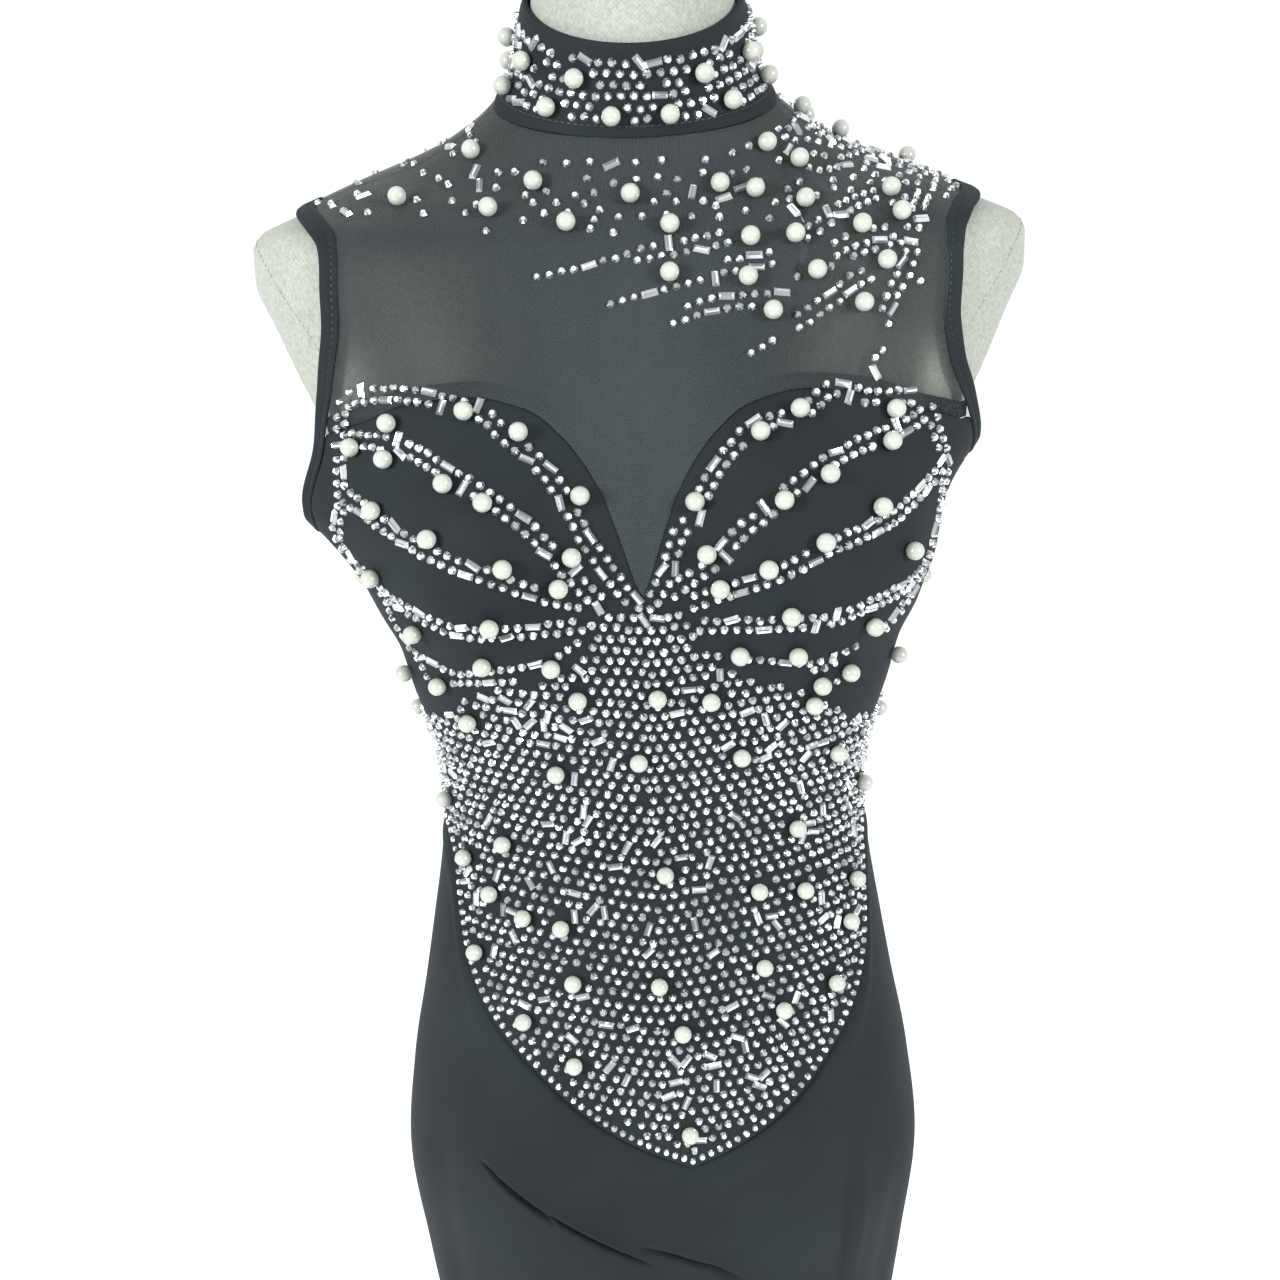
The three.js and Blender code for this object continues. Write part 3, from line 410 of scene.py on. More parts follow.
def spread(length, step, dense=(), also=()):
    """Parts of a length from 0 to 1, a step apart, closer by both ends and in a dense stretch."""
    stops = [0.0]
    while stops[-1] < length:
        here = stops[-1]
        if min(here, length - here) < EDGE_ZONE:
            stops.append(here + EDGE_STEP)
        elif dense and dense[0] <= here <= dense[1]:
            stops.append(here + dense[2])
        else:
            stops.append(here + step)
    parts = np.array(stops) / stops[-1]
    if len(also):
        far = np.min(np.abs(parts[:, None] - np.asarray(also)), 1) > KEEP_CLEAR * step / length
        parts = np.sort(np.concatenate([parts[far], also]))
    return parts


SEAM_GAP = 0.3
ZIP_END = 868
ZIP_HALF = 2.3
ZIP_OPENS = (12, 4)  # the backs part for the zip between these distances under its end
JERSEY_WALL = 1.5
ARMHOLE_TOP = 1357
ARMHOLE_BACK = 0.94
POINT_ANGLE = 7.7
BASQUE = curve([0, 10, 20, 30, 40, 48, 55, 61, 66, 71, 78, 90, 110, 130, 155, 180],
               [889, 897, 907, 920, 937, 951, 966, 984, 1007, 1032, 1044, 1050, 1042, 1022, 998, 988])

# Level, and how many degrees an armhole's front edge lies before the side line there. The wearer's
# right (-1) hangs lower. The back edge lies ARMHOLE_BACK of that behind the line.
ARMHOLE_EDGE = {
    1: [(1230, 0), (1232, 7), (1236, 11), (1244, 13.5), (1260, 17), (1280, 21.3), (1302, 22.8), (1325, 21.6),
        (1341, 19), (1350, 14.5), (1355, 8), (ARMHOLE_TOP, 0)],
    -1: [(1201, 0), (1202.8, 7.5), (1206.5, 12.8), (1214, 16.4), (1230, 17.6), (1252, 17.6), (1275, 20.3),
         (1305, 22.6), (1328, 21.6), (1342, 19.2), (1350, 14.5), (1355, 8), (ARMHOLE_TOP, 0)],
}
REACH = {side: curve(*zip(*rows)) for side, rows in ARMHOLE_EDGE.items()}

FRONT_GRID = spread(400, 3.7, (82, 262, 1.5)), spread(865, 5.8, (772, 814, 0.55))
BACK_GRID = spread(200, 3), spread(865, 5.6, (750, 862, 2.0))
SKIRT_CUT = {"front": ((0.70, 1.05), 0.385), "back": ((0.365, 1.05), 0.212)}  # metres, square metres
TUCK = {"swell": (1.3, 12, 4.5), "dip": (1.2, 0, 3.5)}  # height, distance under the edge, width
ROLL_WIDTH = 1.6
JERSEY_RIB = 1.6  # real wales are 0.5 mm apart; these are as fine as shows

# how a crease's height fades and its width narrows towards its ends
FOLD_ENDS = 0.8
FOLD_NARROWS = (0.45, 0.35)

# from angle, from level, to angle, to level, height (below 0 is a trough), width, bow upwards
FOLDS = [
    (-50, 879, -36, 861, -5.0, 1.2, -1), (-47, 872, -30, 850, -5.6, 1.3, 0),
    (-50, 884, -30, 857, 1.8, 2.4, -1), (-38, 862, -3, 827, -6.0, 1.4, -1),
    (-38, 867, -3, 832, 2.4, 2.6, -1), (-8, 840, 22, 814, -5.8, 1.4, 3), (-8, 845, 22, 819, 2.0, 2.5, 3),
    (-47, 841, -31, 818, -1.1, 2.0, 1), (-22, 878, -8, 862, -0.9, 2.2, 1),
    (-40, 927, -10, 894, -2.4, 6, 2), (51, 888, 49, 780, -3.0, 5, 0), (54, 884, 52, 790, 2.4, 5, 0),
    (30, 868, 6, 812, -1.2, 8, 2), (-62, 900, -60, 740, -1.8, 10, 0), (66, 860, 62, 720, -1.6, 8, 0),
    (-20, 800, 24, 770, 1.2, 9, -3), (-60, 760, -22, 735, -1.1, 8, 2), (30, 640, 64, 600, 1.4, 9, 4),
    (-58, 600, -24, 566, -1.3, 9, 3), (148, 876, 171, 846, 1.4, 3.5, 3),
    (146, 871, 169, 841, -1.7, 3.5, 3), (-150, 870, -168, 842, -1.4, 5, 2),
    (118, 840, 145, 800, 1.3, 8, 2), (-112, 870, -140, 826, -1.4, 8, 3),
    (-100, 640, -136, 600, 1.4, 9, 3), (104, 620, 140, 585, -1.4, 9, 3),
    (150, 1020, 176, 1026, -1.2, 6, 2), (-150, 1028, -176, 1020, -1.2, 6, 2),
    (66, 1392, 40, 1292, -2.8, 2.4, -6), (71, 1390, 44, 1288, 1.6, 3.0, -6),
    (71, 1342, 59, 1268, 2.2, 6, 2), (66, 1342, 55, 1274, -1.4, 5, 2), (-69, 1350, -62, 1278, 1.3, 6, 2),
    (-44, 1330, -38, 1284, -0.9, 8, 0), (112, 1340, 128, 1270, 1.8, 6, 2),
    (-114, 1345, -124, 1280, 1.6, 6, 2), (150, 1320, 146, 1250, -1.2, 8, 0),
    (-150, 1310, -148, 1255, -1.2, 8, 0), (-84, 1200, -68, 1168, -1.4, 5, 1),
    (83, 1198, 68, 1162, -1.4, 5, 1),
]


def side_angle(level):
    return np.degrees(0.5 * SEAM_GAP / side_at(level))


def armhole_reach(level, side):
    return np.where(np.asarray(side) > 0, REACH[1](level), REACH[-1](level))


def front_edge(level, side):
    return 90 - np.maximum(side_angle(level), armhole_reach(level, side))


def back_edge(level, side):
    return 90 + np.maximum(side_angle(level), ARMHOLE_BACK * armhole_reach(level, side))


def centre_back(level):
    opened = smooth(level, *(ZIP_END - under for under in ZIP_OPENS))
    half = 0.5 * SEAM_GAP + (ZIP_HALF - 0.5 * SEAM_GAP) * opened
    return 180 - np.degrees(np.arcsin(half / back_at(level)))


def basque(angle):
    return BASQUE(np.abs(angle - POINT_ANGLE * np.cos(np.radians(angle))))


def skirt_top(angle):
    """The skirt's upper edge, one even gap below the basque however steep that runs."""
    rise = 0.5 * (basque(angle + 1) - basque(angle - 1))
    return basque(angle) - SEAM_GAP * np.hypot(1, rise / np.radians(side_at(basque(angle))))


def folds(angle, level):
    """How far the cloth's creases stand out from the skin at each place."""
    height = np.zeros(np.broadcast(angle, level).shape)
    for angle_a, level_a, angle_b, level_b, tall, wide, bow in FOLDS:
        middle = 0.5 * (level_a + level_b)
        per_degree = math.radians(float(side_at(middle)))
        along = np.array([(angle_b - angle_a) * per_degree, level_b - level_a])
        length = np.linalg.norm(along)
        along = along / length
        x, z = (angle - angle_a) * per_degree, level - level_a
        part = (x * along[0] + z * along[1]) / length
        inside = np.clip(part, 0, 1)
        off = -x * along[1] + z * along[0] - 4 * bow * inside * (1 - inside)
        ends = np.sin(np.pi * inside) ** FOLD_ENDS * (np.abs(part - 0.5) < 0.5)
        height = height + tall * ends * bell(off, wide * (FOLD_NARROWS[0] + FOLD_NARROWS[1] * ends))
    return height


def cloth_at(angle, level, lift=0.0):
    """Points on the gown's cloth, creases included, moved outwards by lift."""
    point, normal, _, _ = skin_frame(angle, level)
    return point + normal * (lift + folds(angle, level))[..., None]


def shell(name, places, wall, material, node, cut,
          lift=0.0, roll=0.7, rolled="udlr", inset=0.0):
    """A cloth panel with two faces over a grid of places; its seamed edges roll in a little."""
    angle, level = places
    flat = cloth_at(angle, level, lift)
    across = np.cumsum(np.linalg.norm(np.diff(flat, axis=1), axis=-1), axis=1)
    across = np.hstack([np.zeros((len(flat), 1)), across])
    upward = np.cumsum(np.linalg.norm(np.diff(flat, axis=0), axis=-1), axis=0)
    upward = np.vstack([np.zeros((1, flat.shape[1])), upward])
    reach = {"d": upward, "u": upward[-1:] - upward, "l": across, "r": across[:, -1:] - across}
    dip = sum(roll * np.exp(-(reach[edge] / ROLL_WIDTH) ** 2) for edge in rolled)
    raised = lift - dip + inset
    outer, inner = cloth_at(angle, level, raised), cloth_at(angle, level, raised - wall)
    rows, columns = angle.shape
    size = rows * columns
    faces = grid_faces(rows, columns) + grid_faces(rows, columns, size, flip=True)
    index = np.arange(size).reshape(rows, columns)
    rim = np.concatenate([index[0], index[1:, -1], index[-1, -2::-1], index[-2:0:-1, 0]])
    after = np.roll(rim, -1)
    faces += np.stack([after, rim, rim + size, after + size], -1).tolist()
    middle = across - across[:, columns // 2:columns // 2 + 1]
    cloth = np.stack([middle, upward - upward[-1:], 0 * middle], -1).reshape(-1, 3)
    points = np.concatenate([outer.reshape(-1, 3), inner.reshape(-1, 3)])
    piece = make_piece(name, points, faces, material, cloth=np.vstack([cloth, cloth]))
    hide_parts(node)
    return piece


def jersey_material():
    """Black stretch jersey, knitted and brushed: soft and matte, with a faint sheen where it turns."""
    material, tree, shader = start_material("black_stretch_jersey_knit")
    place = add_node(tree, "TexCoord").outputs["Object"]
    cloud = add_node(tree, "TexNoise", {"Vector": place, "Scale": 14, "Detail": 3})
    fuzz = add_node(tree, "TexNoise", {"Vector": place, "Scale": 900, "Detail": 2})
    tone = add_node(tree, "Math", {0: fuzz, 1: 0.22, 2: cloud}, operation="MULTIPLY_ADD")
    rib = add_node(tree, "Math", {0: thread_wave(tree, JERSEY_RIB), 1: 0.03}, operation="MULTIPLY")
    tone = add_node(tree, "Math", {0: tone, 1: rib}, operation="ADD")
    ramp = add_node(tree, "ValToRGB", {"Fac": tone}, stops=((0.3, "#12171a"), (0.95, "#1d2428")))
    bump = add_node(tree, "Bump", {"Height": tone, "Strength": 0.25, "Distance": 0.0003})
    feed(tree, shader, {"Base Color": ramp, "Normal": bump, "Roughness": 0.75, "Specular IOR Level": 0.15,
                        "Sheen Weight": 0.03, "Sheen Roughness": 0.45, "Sheen Tint": linear("#aab4bc")})
    return material


jersey = jersey_material()


def front_angle(share, level):
    """The angle at a share of a front panel's half width; an armhole draws in its outer part most."""
    return share * (90 - share ** 2 * (90 - front_edge(level, share)))


def front_places(low, high, columns, rows):
    """A grid of places over a front panel between two edges, given by the share of its half width."""
    share = 2 * columns - 1
    level = low(share) + (high(share) - low(share)) * rows[:, None]
    return front_angle(share, level), level


def back_places(side, low, high, columns, rows):
    """The same over a back panel between its side seam and the centre back."""
    part = columns if side > 0 else 1 - columns
    flat = side * (90 + 90 * part)
    level = low(flat) + (high(flat) - low(flat)) * rows[:, None]
    drawn_in = (back_edge(level, side) - 90) * (1 - part) ** 3
    return side * (90 + (centre_back(level) - 90) * part + drawn_in), level


def three_panels(front, back):
    """The name, half and places of a front panel and of the backs, from edges, columns and rows."""
    yield "front", "front", front_places(*front)
    for hand, side in HANDS:
        yield f"back_{hand}", "back", back_places(side, *back)


def skirt():
    hem = lambda share: HEM["level"] + 0 * share
    top = lambda share: skirt_top(90 * share)
    for panel, half, places in three_panels((hem, top, *FRONT_GRID), (hem, skirt_top, *BACK_GRID)):
        below = places[1][-1:] - places[1]
        swell, dip = (tall * bell(below - middle, wide) for tall, middle, wide in TUCK.values())
        shell(f"skirt_{panel}_jersey", places, JERSEY_WALL, jersey, f"skirt_{panel}",
              SKIRT_CUT[half], rolled="ulr", inset=swell - dip if half == "front" else 0)


skirt()

# ---------------------------------------------------------------- bodice
# A front with a sweetheart top and a pointed basque edge, and two backs, of the same jersey. Their
# lower edge lies on the skirt.

BEADED_WALL = 2.2
WAIST_SIDE = 1050
YOKE_SIDE = 1252
NOTCH_ANGLE = -2
SWEETHEART = curve([0, 3, 6, 12, 22, 32, 44, 55, 64, 73],
                   [1184, 1198, 1213, 1235, 1256, 1268, 1273, 1270, 1260, 1252])
NECKLINE_STEPS = 16  # times that a level and its angle are brought to agree
UNDERARM_ROWS = [(1200.8, 1207), (1229.8, 1237)]  # closer rows of points where the armholes end
OVERLAP = {"rise": 1.3, "reach": 6}  # the bodice's lower edge lies on the skirt
BODICE_CUT = {"front": ((0.52, 0.36), 0.103), "back": ((0.20, 0.26), 0.039)}


def neckline(share):
    level = YOKE_SIDE + 0 * share
    for _ in range(NECKLINE_STEPS):
        angle = front_angle(share, level)
        level = SWEETHEART(np.abs(angle - NOTCH_ANGLE * np.cos(np.radians(angle))))
    return level


def bodice():
    turns = np.concatenate([np.linspace(*ends, 9) for ends in UNDERARM_ROWS])
    rows = spread(200, 1.9, also=(turns - WAIST_SIDE) / (YOKE_SIDE - WAIST_SIDE))
    front = lambda share: basque(90 * share), neckline, spread(400, 2.7), rows
    back = basque, lambda angle: YOKE_SIDE + 0 * angle, spread(200, 2.8), rows
    for panel, half, places in three_panels(front, back):
        above = places[1] - places[1][:1]
        over = OVERLAP["rise"] * np.exp(-(above / OVERLAP["reach"]) ** 2)
        shell(f"bodice_{panel}_jersey", places, BEADED_WALL, jersey, f"bodice_{panel}",
              BODICE_CUT[half], roll=0.6, rolled="ulr", inset=over)


bodice()

# ---------------------------------------------------------------- facing and yoke
# The yoke is fine stretch mesh in one layer, through which the linen shows. A strip of jersey behind
# its lower edge, turned up from the bodice, shows as a darker band along the sweetheart line.

MESH_WALL = 1.0
MESH_PITCH = 1.7  # the real mesh has 0.5 mm holes; these are as fine as shows
MESH_SLANT = math.radians(58)
COLLAR_BASE = 1398
SHOULDER_ROWS = (1341, 1358)
YOKE_CUT = {"front": ((0.42, 0.235), 0.0405), "back": ((0.18, 0.24), 0.0285)}
FACING = {"width": 7.5, "start": 0.5, "under": 1.75, "wall": 1.0, "reach": 0.998, "columns": 281, "rows": 5}
FACING_CUT = ((0.46, 0.010), 0.0036)
PER_DEGREE = 0.9  # share of the side's half width, a mean radius of the front

# share of the light that the mesh stops, what its creases add as denser gathered mesh and as painted crease
# shade, and what each stretched zone takes away
COVER = {"plain": 0.77, "centre": 0.17, "gathered_shade": 0.07}
STRETCHED = {"armhole": 0.23, "cups": 0.12, "shoulder": 0.10, "left corner": 0.34, "right corner": 0.18}


def mesh_material():
    """Fine black stretch mesh: even hexagonal holes make it read as grey over the pale form."""
    material, tree, shader = start_material("black_stretch_mesh")
    net = crossed_threads(tree, MESH_PITCH, MESH_SLANT, -MESH_SLANT)
    sheer = add_node(tree, "Attribute", attribute_name="sheer").outputs["Fac"]
    cloth = add_node(tree, "Attribute", attribute_name="cloth").outputs["Vector"]
    drawn = add_node(tree, "VectorMath", {0: cloth, 1: (0.03, 0.008, 1)}, operation="MULTIPLY")
    streak = add_node(tree, "TexNoise", {"Vector": drawn, "Scale": 1, "Detail": 2})
    streak = add_node(tree, "Math", {0: streak, 1: 0.3, 2: -0.15}, operation="MULTIPLY_ADD")
    cover = add_node(tree, "Math", {0: net, 1: 0.17, 2: sheer}, operation="MULTIPLY_ADD")
    cover = add_node(tree, "Math", {0: cover, 1: streak}, operation="ADD")
    place = add_node(tree, "TexCoord").outputs["Object"]
    cloud = add_node(tree, "TexNoise", {"Vector": place, "Scale": 18})
    ramp = add_node(tree, "ValToRGB", {"Fac": cloud}, stops=((0, "#272d2e"), (1, "#33393a")))
    bump = add_node(tree, "Bump", {"Height": net, "Strength": 0.2, "Distance": 0.0003})
    feed(tree, shader, {"Base Color": ramp, "Alpha": cover, "Normal": bump, "Roughness": 0.6,
                        "Specular IOR Level": 0.15, "Sheen Weight": 0.08, "Sheen Roughness": 0.5})
    return material


def cover_of_mesh(angle, level):
    """The share of the light that the mesh stops: less where it is stretched beside the armholes, more along
    its creases, where denser gathered mesh and painted shade both darken it.
    """
    turned = np.abs(angle)
    centre = bell(angle, 24) * bell(level - 1275, 40)
    # Painted crease shade: along the creases the mesh is made more opaque, partly as denser gathered mesh,
    # partly to darken the trough.
    gathered_shade = COVER["gathered_shade"] * np.clip(-folds(angle, level), 0, 2.4)
    armhole = smooth(turned, 28, 58) * smooth(128 - turned, 0, 18) * (1 - smooth(level, 1322, 1350))
    cups = bell(level - 1284, 18) * bell(turned - 46, 18)
    corner = smooth(turned, 61, 67) * smooth(112 - turned, 0, 6) * (1 - smooth(level, 1272, 1304))
    corner = corner * np.where(angle > 0, STRETCHED["left corner"], STRETCHED["right corner"])
    shoulder = smooth(level, 1335, 1375) * (1 - 0.5 * smooth(turned, 60, 90))
    sheer = STRETCHED["armhole"] * armhole + STRETCHED["cups"] * cups + STRETCHED["shoulder"] * shoulder
    return COVER["plain"] + COVER["centre"] * centre + gathered_shade - sheer - corner


def facing_places():
    """Places over the strip: it starts on the sweetheart line and ends square to it, mitred at the V."""
    share = np.linspace(-FACING["reach"], FACING["reach"], FACING["columns"])
    level = neckline(share)
    angle = front_angle(share, level)
    per_degree = np.radians(PER_DEGREE * side_at(level))
    line = np.stack([angle * per_degree, level], -1)
    along = unit(np.gradient(line, axis=0))
    square = np.stack([-along[:, 1], along[:, 0]], -1)
    to_notch = (NOTCH_ANGLE - angle) * per_degree
    crossing = square[:, 0] * np.sign(to_notch) > 1e-6
    room = np.where(crossing, to_notch / np.where(crossing, square[:, 0], 1), FACING["width"])
    reach = np.minimum(FACING["width"], np.maximum(room, FACING["start"] + 0.1))
    part = np.linspace(0, 1, FACING["rows"])[:, None]
    out = FACING["start"] + (reach - FACING["start"]) * part
    return angle + out * square[:, 0] / per_degree, level + out * square[:, 1]


def yoke():
    net = mesh_material()
    shell("neckline_facing_jersey", facing_places(), FACING["wall"], jersey, "neckline_facing",
          FACING_CUT, lift=-MESH_WALL - FACING["under"],
          rolled="")
    low, high = YOKE_SIDE + SEAM_GAP, COLLAR_BASE - SEAM_GAP
    top = lambda share: high + 0 * share
    rows = spread(145, 2.2, also=(np.linspace(*SHOULDER_ROWS, 13) - low) / (high - low))
    front = lambda share: neckline(share) + SEAM_GAP, top, spread(380, 2.7), rows
    back = lambda angle: low + 0 * angle, top, spread(180, 2.8), rows
    for panel, half, places in three_panels(front, back):
        piece = shell(f"yoke_{panel}_mesh", places, MESH_WALL, net, f"yoke_{panel}",
                      YOKE_CUT[half], roll=0.4)
        sheer = piece.data.attributes.new("sheer", "FLOAT", "POINT")
        sheer.data.foreach_set("value", np.tile(cover_of_mesh(*places).ravel(), 2).astype(np.float32))


yoke()

# ---------------------------------------------------------------- armhole bindings
# Straight strips of jersey folded over the mesh's raw edge and held by one row of stitches.

BINDING = {"gap": 0.55, "band": 7.6, "ease": 4, "cut": 12, "around": 170, "seam": (1.75, 0.38)}


def loop_places(side):
    """Places evenly round an armhole, up its front edge and down its back edge."""
    bottom = ARMHOLE_EDGE[side][0][0]
    fine = bottom + (ARMHOLE_TOP - bottom) * (0.5 - 0.5 * np.cos(np.linspace(0, math.pi, 1600)))
    front, back = front_edge(fine, side), back_edge(fine, side)
    front[[0, -1]] = 90
    angle = side * np.concatenate([front, back[-2::-1]])
    level = np.concatenate([fine, fine[-2::-1]])
    walked = walk(skin(angle, level))
    stops = np.linspace(0, walked[-1], BINDING["around"] + 1)[:-1]
    return np.interp(stops, walked, angle), np.interp(stops, walked, level)


def loop_frame(side):
    """Points round an armhole with their normals and the directions from its edge into the cloth."""
    point, normal, _, _ = skin_frame(*loop_places(side))
    for _ in range(BINDING["ease"]):
        point = 0.5 * point + 0.25 * (np.roll(point, 1, 0) + np.roll(point, -1, 0))
        normal = 0.5 * normal + 0.25 * (np.roll(normal, 1, 0) + np.roll(normal, -1, 0))
    normal = unit(normal)
    along = unit(np.roll(point, -1, 0) - np.roll(point, 1, 0))
    return point, normal, unit(np.cross(along, normal) * side)


thread = thread_material("black_polyester_thread", "#0c0d0f", "#1d2022")


def binding(hand, side):
    point, normal, inward = loop_frame(side)
    near, far = BINDING["gap"], BINDING["gap"] + BINDING["band"]
    section = [(-1.5, -0.2), (-1.6, 0.3), (-1.2, 0.75), (-0.2, 1.0), (1.3, 0.95), (1.75, 0.4), (2.2, 0.98),
               (far - 1.6, 1.05), (far - 0.5, 0.75), (far, 0.1), (far - 0.4, -0.6), (far - 1.6, -1.0),
               (near + 0.4, -1.0), (near, -0.6), (near, 0.0)]
    rings = np.stack([point + inward * reach + normal * rise for reach, rise in section], 1)
    count, sides = rings.shape[:2]
    faces = [[i * sides + k, i * sides + (k + 1) % sides, (i + 1) % count * sides + (k + 1) % sides,
              (i + 1) % count * sides + k] for i in range(count) for k in range(sides)]
    if side > 0:
        faces = [face[::-1] for face in faces]
    walked = walk(point)
    across = np.tile([reach for reach, _ in section], count)
    cloth = np.stack([np.repeat(walked, sides), across, 0 * across], -1)
    piece = make_piece(f"armhole_binding_{hand}_jersey", rings, faces, jersey, cloth=cloth)
    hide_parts(f"armhole_binding_{hand}")
    reach, rise = BINDING["seam"]
    seam = point + inward * reach + normal * rise
    stitches(f"armhole_stitches_{hand}", seam, normal, thread)


for hand, side in HANDS:
    binding(hand, side)

# ---------------------------------------------------------------- collar
# A standing band, 45 mm high, that closes at the back with the zip. Its base is bound and stitched.

COLLAR = {"top": 1443, "wall": 2.4, "lift": 0.8, "seam": 5.0, "seam_ends": 176}
COLLAR_CUT = ((0.385, 0.047), 0.015)


def collar():
    level = COLLAR_BASE + (COLLAR["top"] - COLLAR_BASE) * spread(47, 1.3)[:, None]
    angle = (2 * spread(340, 2.0) - 1) * centre_back(level)
    shell("collar_jersey", (angle, level + 0 * angle), COLLAR["wall"], jersey, "collar",
          COLLAR_CUT, lift=COLLAR["lift"], roll=0.5)
    line = np.linspace(-COLLAR["seam_ends"], COLLAR["seam_ends"], 500)
    point, normal, _, _ = skin_frame(line, COLLAR_BASE + COLLAR["seam"] + 0 * line)
    stitches("collar_stitches", point + normal * COLLAR["lift"], normal, thread)


collar()

# ---------------------------------------------------------------- pearls
# Round imitation pearls, 8.5 mm, glass or resin under a pearl coat, each sewn on through its drilling.

PEARL = {"radius": 4.25, "sunk": 0.45}

# from angle, from level, to angle, to level, bow upwards, pearls at these parts of the way
PEARL_STRANDS = [
    (4, 1203, 36, 1259, 9, (0.3, 0.86)),
    (36, 1262, 63, 1257, 5, (0.17, 0.8)),
    (4, 1190, 63, 1254, 5, (0.2, 0.52, 0.68, 0.88)),
    (5, 1182, 64, 1233, -3, (0.23, 0.42, 0.62, 0.82)),
    (14, 1177, 62, 1200, -7, (0.42, 0.97)),
    (14, 1165, 62, 1176, -12, (0.2, 0.48, 0.82)),
    (32, 1134, 64, 1152, -3, (0.4, 0.62)),
    (-8, 1203, -38, 1262, 7, (0.37, 0.88)),
    (-38, 1265, -64, 1256, 5, (0.3, 0.8)),
    (-8, 1187, -66, 1250, 9, (0.22, 0.55, 0.68, 0.87, 0.98)),
    (-8, 1181, -66, 1231, 0, (0.27, 0.47, 0.7, 0.87)),
    (-14, 1180, -63, 1194, -9, (0.5, 0.98)),
    (-14, 1165, -60, 1172, -14, (0.28, 0.62, 0.93)),
    (-57, 1138, -51, 1120, 0, (0, 1)),
    (-21, 1137, 45, 1127, 3, (0, 0.34, 0.57, 0.98)),
    (-29, 1096, 55, 1094, 9, (0, 0.29, 0.65, 1)),
    (-48, 1052, 44, 1058, -14, (0, 0.55, 1)),
    (-62, 1037, -29, 1014, -6, (0, 0.33, 0.66, 1)),
    (31, 1029, 65, 1018, 0, (0, 0.4, 0.95)),
    (-54, 992, 58, 1000, -9, (0, 0.26, 0.48, 0.75, 1)),
    (-38, 964, 50, 973, -6, (0, 0.5, 0.82, 1)),
    (-24, 945, 7, 909, 0, (0, 1)),
    (59, 1387, 71, 1359, 5, (0, 0.5, 1)),
    (36, 1374, 66, 1345, 4, (0, 0.35, 0.66, 1)),
    (12, 1342, 59, 1339, -5, (0, 0.52, 0.74, 1)),
    (10, 1322, 62, 1325, -4, (0, 0.45, 0.74, 0.96)),
    (38, 1305, 55, 1307, 0, (0, 1)),
    (-72, 1383, -4, 1371, -2, (0, 0.4, 1)),
    (-71, 1362, -28, 1345, 2, (0, 0.45, 1)),
    (100, 1386, 104, 1361, 0, (0, 0.5, 1)),
    (118, 1374, 124, 1340, 0, (0, 0.5, 1)),
]
COLLAR_PEARLS = {"centre": 2, "first": 14, "step": 16.2, "each": 10, "low": 1408, "high": 1425}
BACK_PEARLS = {"first": 72, "last": 170, "step": 30, "low": 1064, "high": 1176, "rise": 36, "sway": 5}


def pearl_places():
    places = []
    for angle_a, level_a, angle_b, level_b, bow, parts in PEARL_STRANDS:
        for part in parts:
            level = level_a + (level_b - level_a) * part + 4 * bow * part * (1 - part)
            places.append((angle_a + (angle_b - angle_a) * part, level))
    middle = COLLAR_PEARLS["centre"]
    for i in range(COLLAR_PEARLS["each"]):
        level = COLLAR_PEARLS["low"] if i % 2 == 0 else COLLAR_PEARLS["high"]
        turn = COLLAR_PEARLS["first"] + COLLAR_PEARLS["step"] * i
        places += [(middle - turn, level), (middle + turn, level)]
    levels = np.arange(BACK_PEARLS["low"], BACK_PEARLS["high"], BACK_PEARLS["rise"])
    for row, level in enumerate(levels):
        start = BACK_PEARLS["first"] + (row % 2) * 0.5 * BACK_PEARLS["step"]
        for angle in np.arange(start, BACK_PEARLS["last"], BACK_PEARLS["step"]):
            sway = BACK_PEARLS["sway"] * math.sin(angle)
            places += [(angle, level + sway), (-angle, level - sway)]
    return np.array(places)


def surface_lift(level):
    """How far the cloth under a stone stands outside the skin."""
    return np.where(np.asarray(level) > COLLAR_BASE, COLLAR["lift"], 0.0)


def ball(rings=11, around=20):
    """A unit sphere as points and faces."""
    points, faces = [(0, 0, -1)], []
    for ring in range(1, rings):
        tilt = math.pi * ring / rings
        for k in range(around):
            turn = 2 * math.pi * k / around
            out = math.sin(tilt)
            points.append((out * math.cos(turn), out * math.sin(turn), -math.cos(tilt)))
    points.append((0, 0, 1))
    top = len(points) - 1
    for k in range(around):
        after = (k + 1) % around
        faces.append((0, 1 + after, 1 + k))
        faces.append((top, top - around + k, top - around + after))
        for ring in range(rings - 2):
            low = 1 + ring * around
            faces.append((low + k, low + after, low + around + after, low + around + k))
    return points, faces


def pearl_material():
    """Pearl coat over glass: a cool ivory body, a little cloudy, under a clear gloss."""
    material, tree, shader = start_material("pearl_coated_glass")
    place = add_node(tree, "TexCoord").outputs["Object"]
    cloud = add_node(tree, "TexNoise", {"Vector": place, "Scale": 260, "Detail": 2})
    ramp = add_node(tree, "ValToRGB", {"Fac": cloud}, stops=((0, "#969b92"), (1, "#b0b5ac")))
    feed(tree, shader, {"Base Color": ramp, "Roughness": 0.3, "Coat Weight": 0.8,
                        "Coat Roughness": 0.06, "Coat IOR": 1.6})
    return material


def square_axes(normal, around):
    """Axes of a small piece that stands square on the cloth: round, up and out."""
    along = unit(around)
    return np.stack([along, np.cross(normal, along), normal], 1)


def pearls():
    places = pearl_places()
    angle, level = places.T
    point, normal, around, _ = skin_frame(angle, level)
    rise = PEARL["radius"] - PEARL["sunk"] + surface_lift(level) + folds(angle, level)
    sizes = np.full((len(places), 1), PEARL["radius"])
    piece = stamp("pearls_sewn_on", *ball(), point + normal * rise[:, None], square_axes(normal, around),
                  sizes, pearl_material(), smooth_faces=True)
    return places


pearl_spots = pearls()

